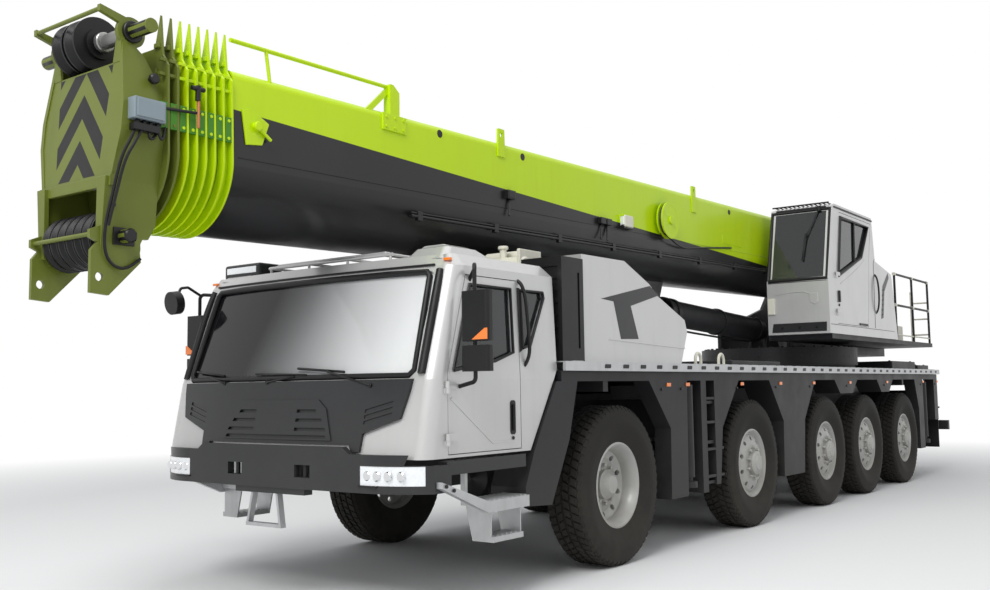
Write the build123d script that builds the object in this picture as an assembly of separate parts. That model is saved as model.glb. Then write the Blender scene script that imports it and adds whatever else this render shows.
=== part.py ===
"""Five-axle all-terrain mobile crane with a telescopic boom, in transport order.

Millimetres. +Z is up, the crane drives towards -Y, +X is its left side. Stations (y) are
counted from the bumper's front face, rearwards. write_node() moves every solid so that the
origin lies on the ground, in the middle of the crane's box.
"""
from build123d import *
import os
from math import atan2, degrees, hypot

# ---------------------------------------------------------------- overall
HEAD_FRONT_Y = -1865.0
TAIL_Y = 14200.0
MID_Y = (HEAD_FRONT_Y + TAIL_Y) / 2
DECK_HALF_W = 1500.0
SEAT_GAP = 0.3
RUN_FIT = 0.06
MOVE_GAP = 6.0

# ---------------------------------------------------------------- wheels and axles
TYRE_R = 684.0
TYRE_W = 385.0
TYRE_FACE_X = 1480.0
TYRE_SHOULDER = 55.0
BEAD_R = 330.0
BEAD_W = 250.0
RIM_FLANGE_R = 362.0
RIM_WALL = 14.0
HUB_R = 150.0
HUB_HOLE_R = 26.0
SPINDLE_R = 55.0
KINGPIN_X = 1000.0
KINGPIN_R = 38.0
AXLE_BEAM_H = 130.0
AXLE_BEAM_W = 150.0
KNUCKLE_EYE_H = 60.0
WHEEL_X = TYRE_FACE_X - TYRE_W / 2

# axle number, station, steered, dish depth of the rim's disc behind the tyre's outer face
AXLES = (
    (1, 2493.0, True, 210.0),
    (2, 5394.0, True, 60.0),
    (3, 7751.0, False, 60.0),
    (4, 9414.0, True, 60.0),
    (5, 11272.0, True, 60.0),
)

# ---------------------------------------------------------------- boom's head and fittings
# the collar's edge above its U, (x, height over the boom's axis)
COLLAR_TOP = ((495.0, 560.0), (440.0, 640.0), (418.0, 900.0), (362.0, 700.0), (340.0, 690.0))
RAIL_X = 440.0
RAIL_R = 16.0
# lifting lugs on the base section: station and top
LUG_PLACES = ((2150.0, 3910.0), (6130.0, 3975.0))
REEL_PLACE = (5300.0, 3440.0)
REEL_R = 215.0
JIB_PIN_Y = -1805.0
JIB_PIN_Z = 2240.0
JIB_PIN_R = 28.0
JIB_PLATE_X = 322.0
JIB_PLATE_T = 28.0
JIB_PLATE = ((-1800, 2480), (-1865, 2400), (-1865, 2140), (-1740, 2130), (-1520, 2350), (-1550, 2560),
             (-1780, 2560))
HEAD_CHEEK_T = 32.0
# the cheek's outer half width by height
HEAD_WIDTHS = ((2250.0, 350.0), (2500.0, 350.0), (2850.0, 392.0), (3150.0, 462.0), (3330.0, 462.0),
               (3630.0, 405.0),
               (3760.0, 384.0), (4000.0, 384.0))
HEAD_SIDE = ((-1555, 3660), (-1700, 3790), (-1740, 3300), (-1800, 2440), (-1780, 2400), (-1660, 2330),
             (-1560, 2400),
             (-1510, 2500), (-1470, 2500), (-1300, 2860), (-1300, 3560), (-1500, 3560))
HEAD_EAR_R = 98.0
HEAD_FOOT_R = 125.0
HEAD_REAR_Y = -1300.0
GUARD_Y = -1850.0
GUARD_Z = 2500.0
GUARD_R = 14.0
TOP_GUARD_Y = -1845.0
TOP_GUARD_Z = 3905.0
UPPER_SHEAVE_X = -105.0
UPPER_SHEAVE_Y = -1640.0
UPPER_SHEAVE_Z = 3800.0
UPPER_SHEAVE_R = 180.0
UPPER_SHEAVES = 2
UPPER_PITCH = 140.0
UPPER_PIN_X = 600.0
LOWER_SHEAVE_Y = -1650.0
LOWER_SHEAVE_Z = 2500.0
LOWER_SHEAVE_R = 180.0
LOWER_SHEAVES = 6
LOWER_PITCH = 90.0
LOWER_PIN_X = 430.0
SHEAVE_SHAFT_R = 45.0

# ---------------------------------------------------------------- chassis
FRAME_HALF_W = 430.0
FRAME_BOTTOM_Z = 950.0
FRAME_TOP_Z = 1540.0
FRAME_WALL = 30.0
FRAME_FRONT_Y = 420.0
FRAME_REAR_Y = 13250.0
RAIL_END_Y = 4300.0
RAIL_T = 80.0
CROSS_LOW_Z = 850.0
CROSS_TOP_Z = 1035.0
TAIL_BEAM_Y = 14000.0
TAIL_BEAM_W = 100.0
TAIL_BEAM_Z = 700.0
TAIL_BEAM_H = 160.0
TOW_EYE_R = 25.0
TOW_EYE_T = 50.0
TOW_EYE_Y = TAIL_Y - 50.0
TOW_EYE_Z = TAIL_BEAM_Z + 80.0
DECK_FRONT_Y = 1590.0
DECK_REAR_Y = 13340.0
DECK_TOP_Z = 1742.0
DECK_T = 8.0
EDGE_T = 26.0
EDGE_BOTTOM_Z = 1665.0
SKIRT_X = 1450.0
SKIRT_DEPTH = 330.0
SKIRT_T = 24.0
SKIRT_TOP_Z = 1580.0
SKIRT_LOW_Z = 470.0

# ---------------------------------------------------------------- outriggers
OUTRIGGER_Y = (4055.0, 12750.0)
OUTRIGGER_PITCH = 250.0
OUTRIGGER_Z = 1215.0
BEAM_W = 210.0
BEAM_H = 320.0
BEAM_WALL = 18.0
BEAM_END_X = 1290.0
BEAM_BACK_X = -1250.0
BOX_HALF_X = 1270.0
BOX_WALL = 20.0
JACK_X = 1370.0
JACK_R = 78.0
JACK_ROD_R = 55.0
JACK_TOP_Z = 1540.0
JACK_LOW_Z = 640.0
PAD_R = 130.0
PAD_T = 60.0
OUTRIGGER_TRAVEL = 1900.0
JACK_TRAVEL = 560.0

# ---------------------------------------------------------------- carrier cab
CAB_HALF_W = 1430.0
CAB_TOP_HALF_W = 1395.0
CAB_CORNER_X = 1315.0
CAB_CORNER_BACK = 120.0
CAB_REAR_Y = 1570.0
CAB_LOW_Z = 1055.0
CAB_WAIST_Z = 1600.0
CAB_EAVE_Z = 2420.0
CAB_ROOF_Z = 2510.0
# stations of the bowed front at three heights: (the bow's middle, its ends)
CAB_LOW_FRONT = (-140.0, -55.0)
CAB_WAIST_FRONT = (-25.0, 50.0)
CAB_EAVE_FRONT = (255.0, 325.0)
# the slanting rear edge of the cab's side, (y, z)
CAB_NOTCH_LOW = (1175.0, 1044.0)
CAB_NOTCH_HIGH = (1570.0, 1675.0)
CAB_WALL = 55.0
CAB_GLASS_T = 8.0
CAB_GLASS_IN = 14.0
SCREEN_HALF_W = 1240.0
SCREEN_LOW_Z = 1635.0
SCREEN_TOP_Z = 2385.0
SCREEN_CORNER = 70.0
DOOR_FRONT_Y = 190.0
DOOR_FRONT_TOP_Y = 440.0
DOOR_REAR_Y = 1065.0
DOOR_LOW_Z = 1075.0
DOOR_TOP_Z = 2355.0
DOOR_PILLAR_Z = 1640.0
DOOR_INNER_X = 1330.0
DOOR_INSET = 2.0
DOOR_HINGE_Z = (1200.0, 1560.0)
HINGE_PIN_R = 9.0
HINGE_R = 17.0
DOOR_HINGE_X = CAB_HALF_W + HINGE_R + 1.0
FAIRING_X = 1060.0
FAIRING_H = 70.0
RACK_HALF_W = 700.0
RACK_Y = 430.0
RACK_DEPTH = 300.0
RACK_Z = 2562.0
RACK_R = 14.0

PANEL_T = 26.0
# the front panel's outline and its raised middle, (x, z)
PANEL = ((-1252, 1605), (-1240, 1520), (-1190, 1330), (-880, 1226), (-872, 1100), (-800, 1100),
         (-770, 1148), (770, 1148),
         (800, 1100), (872, 1100), (880, 1226), (1190, 1330), (1240, 1520), (1252, 1605))
PANEL_RAISED = ((-606, 1175), (606, 1175), (520, 1400), (432, 1466), (-432, 1466), (-520, 1400))
LOUVRE_H = 24.0
# louvres in the raised middle: foot, inner and outer end
PANEL_LOUVRES = ((1372, 225, 432), (1306, 225, 500), (1240, 225, 545), (1186, 0, 560))
CORNER_LOUVRES = (1290.0, 1330.0, 1370.0)
BUMPER_HALF_W = 1450.0
BUMPER_FRONT_Y = -190.0
BUMPER_REAR_Y = 200.0
BUMPER_LOW_Z = 826.0
BUMPER_TOP_Z = 1088.0
BUMPER_RISE = 48.0
TOW_X = 374.0
TOW_Z = 955.0
LAMP_X0 = 940.0
LAMP_X1 = 1405.0
LAMP_LOW_Z = 880.0
LAMP_TOP_Z = 1011.0

MIRROR_Y = {1: 290.0, -1: 400.0}
MIRROR_X = 1600.0
MIRROR_ROOT_Y = 500.0
MIRROR_ARM_R = 15.0
ROD_BEND = 40.0
ROUND_MIRROR_R = 100.0

# outline of the front rails, (y, z)
FRONT_RAIL = ((FRAME_FRONT_Y, 820), (FRAME_FRONT_Y, CAB_LOW_Z - SEAT_GAP), (1420, CAB_LOW_Z - SEAT_GAP),
              (1700, 1460), (RAIL_END_Y, 1460),
              (RAIL_END_Y, FRAME_BOTTOM_Z), (1500, FRAME_BOTTOM_Z), (1250, 820))

# ---------------------------------------------------------------- superstructure
SLEW_Y = 9900.0
SLEW_Z = 2000.0
RING_R = 1150.0
RING_BORE_R = 860.0
RING_H = 200.0
PEDESTAL_R = 1110.0
TABLE_T = 60.0
CHEEK_X = 505.0
CHEEK_T = 50.0
BOOM_PIVOT_Y = 11500.0
BOOM_PIVOT_Z = 3330.0
BOOM_PIN_R = 75.0
LIFT_FOOT_Y = 9250.0
LIFT_FOOT_Z = 2330.0
LIFT_HEAD_Y = 5600.0
LIFT_HEAD_Z = 2480.0
LIFT_BARREL_R = 165.0
LIFT_BORE_R = 120.0
LIFT_ROD_R = 92.0
LIFT_BARREL_L = 3150.0
LIFT_PIN_R = 55.0
LIFT_EYE_R = 120.0
LIFT_EYE_W = 180.0
LIFT_EYE_PLAY = 4.0
LUFF_MAX_DEG = 80.0

# ---------------------------------------------------------------- boom
BOOM_TILT_DEG = 1.2
BOOM_FRONT_Y = -900.0
BOOM_HALF_W = 470.0
BOOM_H = 1100.0
BOOM_TOP_DZ = 660.0
BOOM_WALL = 12.0
BOOM_TOP_R = 70.0
SECTION_STEP = 24.0
SECTION_WALL = 10.0
SECTION_TRAVEL = 9200.0
SECTION_COUNT = 4
COLLAR_PITCH = 72.0
COLLAR_T = 16.0
COLLAR_PROUD = 25.0

# ---------------------------------------------------------------- skirts
# skirt outlines of (y, z) corners, after how deep each is and the sides that have it
SKIRTS = (
    (330, (1, -1), ((1530, SKIRT_TOP_Z), (1840, SKIRT_TOP_Z), (1700, 1108), (1433, 620), (1080, 640),
                    (1080, 780),
                    (1200, 1040))),
    (170, (1, -1), ((3060, SKIRT_TOP_Z), (3830, SKIRT_TOP_Z), (3800, SKIRT_LOW_Z), (3450, SKIRT_LOW_Z),
                    (3467, 1130))),
    (170, (1,), ((4130, SKIRT_TOP_Z), (4250, SKIRT_TOP_Z), (4250, SKIRT_LOW_Z), (4130, SKIRT_LOW_Z))),
    (170, (-1,), ((4290, SKIRT_TOP_Z), (4400, SKIRT_TOP_Z), (4400, SKIRT_LOW_Z), (4290, SKIRT_LOW_Z))),
    (330, (1, -1), ((4440, SKIRT_TOP_Z), (5060, SKIRT_TOP_Z), (4620, 1100), (4540, 530), (4440, 530))),
    (330, (1, -1), ((5900, SKIRT_TOP_Z), (7390, SKIRT_TOP_Z), (6990, 1105), (6920, SKIRT_LOW_Z),
                    (6270, SKIRT_LOW_Z),
                    (6300, 1105))),
    (330, (1, -1), ((8120, SKIRT_TOP_Z), (9050, SKIRT_TOP_Z), (8850, 1400), (8330, 1400))),
    (330, (1, -1), ((9950, SKIRT_TOP_Z), (10740, SKIRT_TOP_Z), (10540, 1400), (10150, 1400))),
    (170, (1, -1), ((11930, SKIRT_TOP_Z), (12420, SKIRT_TOP_Z), (12420, SKIRT_LOW_Z), (12140, SKIRT_LOW_Z),
                    (12140, 1100))),
    (170, (1, -1), ((13120, SKIRT_TOP_Z), (13340, SKIRT_TOP_Z), (13340, 900), (13120, 900))),
)

# ---------------------------------------------------------------- steps
BUMPER_CHIN = 45.0
FRONT_STEP_X = (-270.0, 120.0)
FRONT_STEP_Y = (-160.0, -110.0)
FRONT_STEP_Z = (530.0, 556.0)
STEP_ROOT_X = 1250.0
STEP_EDGE_X = 1500.0
STEP_Y = (545.0, 1055.0)
STEP_Z = (690.0, 735.0)
STEP_LIP = 83.0
STEP_PLATE_T = 12.0
LOWER_STEP_X = 1310.0
LOWER_STEP_Y = (600.0, 970.0)
LOWER_STEP_Z = (436.0, 476.0)
STEP_ARM = ((40, 905), (40, 862), (545, 655), (545, 735))

# ---------------------------------------------------------------- cab interior
FLOOR_HALF_W = 1300.0
DASH_HALF_W = 1250.0
DASH_REAR_Y = 420.0
DASH_TOP_Z = 1580.0
SEAT_X = (450.0, 1000.0)
SEAT_H = 400.0
SEAT_TOP_Z = 2150.0
STEERING_R = 230.0

# ---------------------------------------------------------------- cab windows
# the door's window and the quarter window behind it, (y, z)
SIDE_WINDOW = ((262, 1660), (760, 1735), (985, 1800), (985, 2285), (485, 2285))
QUARTER_WINDOW = ((1110, 1835), (1215, 1860), (1430, 2240), (1420, 2285), (1110, 2285))

# ---------------------------------------------------------------- hoods
HOOD = ((1985, 2650), (2710, 2656), (3170, 2480), (3325, 2380), (3880, 2175), (3930, 2060),
        (3785, DECK_TOP_Z + 0.3),
        (1985, DECK_TOP_Z + 0.3))

# ---------------------------------------------------------------- winch
WINCH_Y = 12780.0
WINCH_Z = 2680.0
WINCH_SHAFT_R = 60.0
WINCH_R = 260.0
WINCH_FLANGE_R = 360.0
WINCH_HALF_W = 470.0

# ---------------------------------------------------------------- operator's cab
OPCAB_X0 = 600.0
OPCAB_X1 = 1445.0
OPCAB_LOW_Z = 2195.0
OPCAB = ((8060, OPCAB_LOW_Z), (8060, 2900), (8330, 3930), (8420, 3960), (10050, 3960), (10140, 3330),
         (10950, 3190),
         (11160, OPCAB_LOW_Z))
OPDOOR_HINGE_Y = 8360.0
OPDOOR = ((8380, 2330), (9700, 2330), (9860, 3330), (10000, 3870), (8600, 3870), (8380, 3050))
OPCAB_WALL = 45.0


def box(x0, x1, y0, y1, z0, z1):
    """A box between two corners."""
    return Pos((x0 + x1) / 2, (y0 + y1) / 2, (z0 + z1) / 2) * Box(abs(x1 - x0), abs(y1 - y0), abs(z1 - z0))


def side_plate(points, x0, x1):
    """An outline of (y, z) points, as thick as x0 to x1."""
    face = make_face(Polyline(*points, close=True))
    return extrude(Plane.YZ.offset(x0) * face, amount=x1 - x0)


def front_plate(points, y0, y1):
    """An outline of (x, z) points, as thick as y0 to y1."""
    face = make_face(Polyline(*points, close=True))
    plane = Plane(origin=(0, y1, 0), x_dir=(1, 0, 0), z_dir=(0, -1, 0))
    return extrude(plane * face, amount=y1 - y0)


def rod(start, end, radius):
    """A round bar from one point to another."""
    a = Vector(*start)
    b = Vector(*end)
    axis = b - a
    return extrude(Plane(origin=a, z_dir=axis) * Circle(radius), amount=axis.length)


def tube(start, end, radius, bore):
    """A round bar with a bore."""
    return rod(start, end, radius) - rod(start, end, bore)


def mirrored(shape):
    """The same piece on the other side of the crane."""
    return mirror(shape, about=Plane.YZ)


def both_sides(shape):
    """A piece with its mirror image, as separate solids."""
    return [shape, mirrored(shape)]


def write_node(name, *solids):
    """Writes one node, with the origin moved under the middle of the crane."""
    flat = []
    for item in solids:
        flat.extend(item if isinstance(item, list) else [item])
    parts = [solid for item in flat for solid in item.solids()]
    moved = [solid.moved(Location((0, -MID_Y, 0))) for solid in parts]
    shape = moved[0] if len(moved) == 1 else Compound(children=moved)
    export_step(shape, f"parts/{name}.step")


# ---------------------------------------------------------------- wheels
def tyre():
    """A tyre round the X axis, its middle at x = 0."""
    w = TYRE_W / 2
    s = TYRE_SHOULDER
    b = BEAD_W / 2
    outer = [(-b, BEAD_R), (-w, BEAD_R + 130), (-w, TYRE_R - 2 * s), (-w + s / 2, TYRE_R - s / 3),
             (-w + s * 1.4, TYRE_R), (w - s * 1.4, TYRE_R), (w - s / 2, TYRE_R - s / 3), (w, TYRE_R - 2 * s),
             (w, BEAD_R + 130), (b, BEAD_R), (b - 30, BEAD_R), (b - 20, TYRE_R - 2.4 * s),
             (20 - b, TYRE_R - 2.4 * s), (30 - b, BEAD_R)]
    face = make_face(Polyline(*outer, close=True))
    return revolve(face, Axis.X)


def rim(dish):
    """A steel rim round the X axis: barrel, disc set back by dish from the tyre's face, hub and bore."""
    b = BEAD_W / 2
    seat = BEAD_R - SEAT_GAP
    well = seat - RIM_WALL
    barrel = [(-b - 18, RIM_FLANGE_R - 20), (-b - 2, RIM_FLANGE_R - 20), (-b - 2, seat), (b + 2, seat),
              (b + 2, RIM_FLANGE_R), (b + 18, RIM_FLANGE_R), (b + 18, well), (-b - 18, well)]
    ring = revolve(make_face(Polyline(*barrel, close=True)), Axis.X)
    disc_x = TYRE_W / 2 - dish
    disc = [(disc_x - 18, SPINDLE_R + RUN_FIT), (disc_x + 40, SPINDLE_R + RUN_FIT), (disc_x + 40, HUB_R - 20),
            (disc_x + 20, HUB_R), (disc_x, HUB_R), (disc_x, well), (disc_x - 18, well), (disc_x - 18, HUB_R)]
    plate = revolve(make_face(Polyline(*disc, close=True)), Axis.X)
    for k in range(10):
        hole = rod((disc_x - 60, 0, 230), (disc_x + 60, 0, 230), HUB_HOLE_R)
        plate -= Rot(36 * k, 0, 0) * hole
    return ring + plate


def wheel_place(y, side):
    """Where a wheel stands: side is 1 on the left, -1 on the right."""
    turn = Rot(0, 0, 0) if side > 0 else Rot(0, 0, 180)
    return Pos(side * WHEEL_X, y, TYRE_R) * turn


def knuckle(dish):
    """Steering knuckle in the wheel's own place: two eyes on the kingpin, a web, a drum and the spindle."""
    pin_x = KINGPIN_X - WHEEL_X
    low = AXLE_BEAM_H / 2 + MOVE_GAP
    high = low + KNUCKLE_EYE_H
    eyes = []
    for sign in (1, -1):
        eye = tube((pin_x, 0, sign * low), (pin_x, 0, sign * high), KINGPIN_R + 30, KINGPIN_R + RUN_FIT)
        arm = box(pin_x + 50, pin_x + 110, -60, 60, min(sign * low, sign * high), max(sign * low,
                                                                                      sign * high))
        arm -= rod((pin_x, 0, -high), (pin_x, 0, high), KINGPIN_R + 20)
        eyes.append(eye + arm)
    web = box(pin_x + 90, pin_x + 130, -90, 90, -high, high)
    stub = rod((pin_x + 120, 0, 0), (TYRE_W / 2 - dish + 30, 0, 0), SPINDLE_R)
    return eyes[0] + eyes[1] + web + stub


def axle_beam(y, steered, dish):
    """A cross beam on the wheel line, ending in kingpins or in fixed spindles."""
    if steered:
        reach = KINGPIN_X
        beam = box(-reach, reach, y - AXLE_BEAM_W / 2, y + AXLE_BEAM_W / 2, TYRE_R - AXLE_BEAM_H / 2,
                   TYRE_R + AXLE_BEAM_H / 2)
        half = AXLE_BEAM_H / 2 + MOVE_GAP + KNUCKLE_EYE_H
        for side in (1, -1):
            tip = box(side * (reach - 90), side * (reach + 10), y - 200, y + 200, 0, 2 * TYRE_R)
            beam -= tip
            beam += box(side * (reach - 95), side * reach, y - 36, y + 36, TYRE_R - AXLE_BEAM_H / 2,
                        TYRE_R + AXLE_BEAM_H / 2)
            beam += rod((side * reach, y, TYRE_R - AXLE_BEAM_H / 2), (side * reach, y,
                                                                      TYRE_R + AXLE_BEAM_H / 2),
                        KINGPIN_R + 12)
            beam += rod((side * reach, y, TYRE_R - half), (side * reach, y, TYRE_R + half), KINGPIN_R)
    else:
        reach = KINGPIN_X + 100
        beam = box(-reach, reach, y - AXLE_BEAM_W / 2, y + AXLE_BEAM_W / 2, TYRE_R - AXLE_BEAM_H / 2,
                   TYRE_R + AXLE_BEAM_H / 2)
        for side in (1, -1):
            tip_x = side * (WHEEL_X + TYRE_W / 2 - dish + 30)
            beam += rod((side * (reach - 10), y, TYRE_R), (tip_x, y, TYRE_R), SPINDLE_R)
    beam += rod((-150, y, TYRE_R), (150, y, TYRE_R), 190)
    for side in (1, -1):
        beam += box(side * 300, side * 360, y - 60, y + 60, TYRE_R + 50, FRAME_BOTTOM_Z - SEAT_GAP)
    return beam


def build_wheels():
    """Axle beams on the carrier, then a knuckle and a wheel on each side."""
    beams = []
    for number, y, steered, dish in AXLES:
        beams.append(axle_beam(y, steered, dish))
        wheel = [tyre(), rim(dish)]
        for side_name, side in (("left", 1), ("right", -1)):
            place = wheel_place(y, side)
            write_node(f"wheel_{number}_{side_name}", [place * solid for solid in wheel])
            if steered:
                write_node(f"knuckle_{number}_{side_name}", place * knuckle(dish))
    write_node("axle_beams", beams)


# ---------------------------------------------------------------- chassis
def outrigger_stations():
    """Rows of (name, centre station, side) for the four outrigger beams."""
    rows = []
    for end, y in zip(("front", "rear"), OUTRIGGER_Y):
        rows.append((f"{end}_left", y - OUTRIGGER_PITCH / 2, 1))
        rows.append((f"{end}_right", y + OUTRIGGER_PITCH / 2, -1))
    return rows


def chassis_frame():
    """Front rails, rear box, outrigger boxes and the slewing pedestal, welded together."""
    frame = box(-FRAME_HALF_W, FRAME_HALF_W, RAIL_END_Y - 200, FRAME_REAR_Y, FRAME_BOTTOM_Z, FRAME_TOP_Z)
    frame -= box(-FRAME_HALF_W + FRAME_WALL, FRAME_HALF_W - FRAME_WALL, 0, FRAME_REAR_Y + 100,
                 FRAME_BOTTOM_Z + FRAME_WALL, FRAME_TOP_Z - FRAME_WALL)
    for side in (1, -1):
        frame += side_plate(FRONT_RAIL, min(side * (FRAME_HALF_W - RAIL_T), side * FRAME_HALF_W),
                            max(side * (FRAME_HALF_W - RAIL_T), side * FRAME_HALF_W))
    for y in (FRAME_FRONT_Y, 1500.0, 2100.0, 3200.0, 3700.0):
        frame += box(-FRAME_HALF_W, FRAME_HALF_W, y, y + 60, CROSS_LOW_Z, CROSS_TOP_Z)
    frame += box(-FRAME_HALF_W, FRAME_HALF_W, FRAME_REAR_Y - 60, FRAME_REAR_Y, FRAME_BOTTOM_Z, FRAME_TOP_Z)
    for side in (1, -1):
        frame += box(side * (FRAME_HALF_W - RAIL_T), side * FRAME_HALF_W, FRAME_REAR_Y - 200,
                     TAIL_BEAM_Y + 20,
                     TAIL_BEAM_Z + 60, FRAME_BOTTOM_Z + 60)
    frame += box(-1440, 1440, TAIL_BEAM_Y, TAIL_BEAM_Y + TAIL_BEAM_W, TAIL_BEAM_Z, TAIL_BEAM_Z + TAIL_BEAM_H)
    frame += box(-70, 70, TAIL_BEAM_Y + TAIL_BEAM_W - 10, TAIL_Y, TOW_EYE_Z - TOW_EYE_T / 2,
                 TOW_EYE_Z + TOW_EYE_T / 2)
    frame -= rod((0, TOW_EYE_Y, TOW_EYE_Z - TOW_EYE_T), (0, TOW_EYE_Y, TOW_EYE_Z + TOW_EYE_T), TOW_EYE_R)
    half_w = OUTRIGGER_PITCH / 2 + BEAM_W / 2 + MOVE_GAP + BOX_WALL
    half_h = BEAM_H / 2 + MOVE_GAP + BOX_WALL
    for y in OUTRIGGER_Y:
        frame += box(-BOX_HALF_X, BOX_HALF_X, y - half_w, y + half_w, OUTRIGGER_Z - half_h,
                     OUTRIGGER_Z + half_h)
    for name, y, side in outrigger_stations():
        frame -= box(-BOX_HALF_X - 10, BOX_HALF_X + 10, y - BEAM_W / 2 - MOVE_GAP, y + BEAM_W / 2 + MOVE_GAP,
                     OUTRIGGER_Z - BEAM_H / 2 - MOVE_GAP, OUTRIGGER_Z + BEAM_H / 2 + MOVE_GAP)
        frame += box(side * (BOX_HALF_X - 150), side * (BOX_HALF_X - 10), y - BEAM_W / 3, y + BEAM_W / 3,
                     OUTRIGGER_Z - BEAM_H / 2 - MOVE_GAP - 2, OUTRIGGER_Z - BEAM_H / 2 - SEAT_GAP)
    frame += rod((0, SLEW_Y, FRAME_TOP_Z - 10), (0, SLEW_Y, SLEW_Z - RING_H - SEAT_GAP), PEDESTAL_R)
    frame -= rod((0, SLEW_Y, FRAME_TOP_Z), (0, SLEW_Y, SLEW_Z), RING_BORE_R)
    return frame


def slewing_ring():
    """The ring that the superstructure turns on."""
    return tube((0, SLEW_Y, SLEW_Z - RING_H), (0, SLEW_Y, SLEW_Z - SEAT_GAP), RING_R, RING_BORE_R)


def deck():
    """Deck plate with its side edges and an opening round the slewing pedestal."""
    plate = box(-DECK_HALF_W, DECK_HALF_W, DECK_FRONT_Y, DECK_REAR_Y, DECK_TOP_Z - DECK_T, DECK_TOP_Z)
    plate -= rod((0, SLEW_Y, DECK_TOP_Z - 50), (0, SLEW_Y, DECK_TOP_Z + 50), RING_R + 60)
    plate -= box(-FRAME_HALF_W, FRAME_HALF_W, DECK_FRONT_Y - 10, RAIL_END_Y, DECK_TOP_Z - 50, DECK_TOP_Z + 50)
    for side in (1, -1):
        plate += box(side * (DECK_HALF_W - EDGE_T), side * DECK_HALF_W, DECK_FRONT_Y, DECK_REAR_Y,
                     EDGE_BOTTOM_Z,
                     DECK_TOP_Z)
    for y in (2100.0, 4600.0, 6500.0, 8400.0, 11600.0, 13100.0):
        for side in (1, -1):
            plate += box(side * 300, side * (DECK_HALF_W - EDGE_T), y - 30, y + 30, EDGE_BOTTOM_Z,
                         DECK_TOP_Z - DECK_T)
    return plate


def skirts(side):
    """The dark skirts between the wheels of one side, joined by the side beam under the deck's edge."""
    beam = box(SKIRT_X - SKIRT_DEPTH, SKIRT_X, DECK_FRONT_Y + 10, DECK_REAR_Y, SKIRT_TOP_Z,
               EDGE_BOTTOM_Z - SEAT_GAP)
    for depth, sides, corners in SKIRTS:
        if side in sides:
            outline = make_face(Polyline(*corners, close=True))
            beam += extrude(Plane.YZ.offset(SKIRT_X - depth) * outline, amount=depth)
    for y in (2300.0, 6600.0, 8500.0, 11300.0, 12250.0):
        beam += box(FRAME_HALF_W + SEAT_GAP, SKIRT_X - 10, y - 40, y + 40, SKIRT_TOP_Z - 90, SKIRT_TOP_Z + 5)
    if side > 0:
        for z in (560.0, 960.0, 1360.0):
            beam += box(SKIRT_X - 120, SKIRT_X - 20, 4240, 4450, z - 15, z + 15)
    return beam if side > 0 else mirrored(beam)


def outrigger_beam(y, side):
    """A hollow beam with the jack's barrel at its outer end, built for the left and turned for the right."""
    half_h = BEAM_H / 2
    beam = box(BEAM_BACK_X, BEAM_END_X, -BEAM_W / 2, BEAM_W / 2, OUTRIGGER_Z - half_h, OUTRIGGER_Z + half_h)
    beam -= box(BEAM_BACK_X - 10, BEAM_END_X - 40, -BEAM_W / 2 + BEAM_WALL, BEAM_W / 2 - BEAM_WALL,
                OUTRIGGER_Z - half_h + BEAM_WALL, OUTRIGGER_Z + half_h - BEAM_WALL)
    beam += rod((JACK_X, 0, JACK_LOW_Z), (JACK_X, 0, JACK_TOP_Z), JACK_R)
    beam += box(BEAM_END_X - 20, JACK_X, -50, 50, OUTRIGGER_Z - half_h, OUTRIGGER_Z + half_h)
    beam -= rod((JACK_X, 0, JACK_LOW_Z - 10), (JACK_X, 0, JACK_TOP_Z - 20), JACK_ROD_R + RUN_FIT)
    turn = Rot(0, 0, 0) if side > 0 else Rot(0, 0, 180)
    return Pos(0, y, 0) * turn * beam


def outrigger_jack(y, side):
    """The jack's ram with its foot pad."""
    ram = rod((JACK_X, 0, JACK_LOW_Z - PAD_T), (JACK_X, 0, JACK_TOP_Z - 60), JACK_ROD_R)
    ram += rod((JACK_X, 0, JACK_LOW_Z - PAD_T - 40), (JACK_X, 0, JACK_LOW_Z - 40), PAD_R - 30)
    turn = Rot(0, 0, 0) if side > 0 else Rot(0, 0, 180)
    return Pos(0, y, 0) * turn * ram


def build_chassis():
    """Everything that is welded or bolted to the carrier's frame."""
    write_node("chassis_frame", chassis_frame())
    write_node("slewing_ring", slewing_ring())
    write_node("deck", deck())
    write_node("skirts", skirts(1), skirts(-1))
    for name, y, side in outrigger_stations():
        write_node(f"outrigger_beam_{name}", outrigger_beam(y, side))
        write_node(f"outrigger_jack_{name}", outrigger_jack(y, side))
    write_node("engine_block", box(-290, 290, 1900, 3500, CROSS_TOP_Z + SEAT_GAP, 1700))


# ---------------------------------------------------------------- carrier cab
def cab_plan(inset, half_w, front):
    """The cab's outline from above, with a bowed front whose stations front holds."""
    hw = half_w - inset
    corner_x = half_w - (CAB_HALF_W - CAB_CORNER_X) - inset * 0.6
    middle = front[0] + inset
    corner = front[1] + inset
    back = front[1] + CAB_CORNER_BACK
    rear = CAB_REAR_Y - inset
    bow = ThreePointArc((-corner_x, corner), (0, middle), (corner_x, corner))
    bulge_x = (hw + corner_x) / 2 + (hw - corner_x) * 0.22
    bulge_y = (corner + back) / 2 - CAB_CORNER_BACK * 0.22
    left = ThreePointArc((corner_x, corner), (bulge_x, bulge_y), (hw, back))
    right = ThreePointArc((-hw, back), (-bulge_x, bulge_y), (-corner_x, corner))
    tail = Polyline((hw, back), (hw, rear), (-hw, rear), (-hw, back))
    return make_face(bow + left + tail + right)


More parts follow.
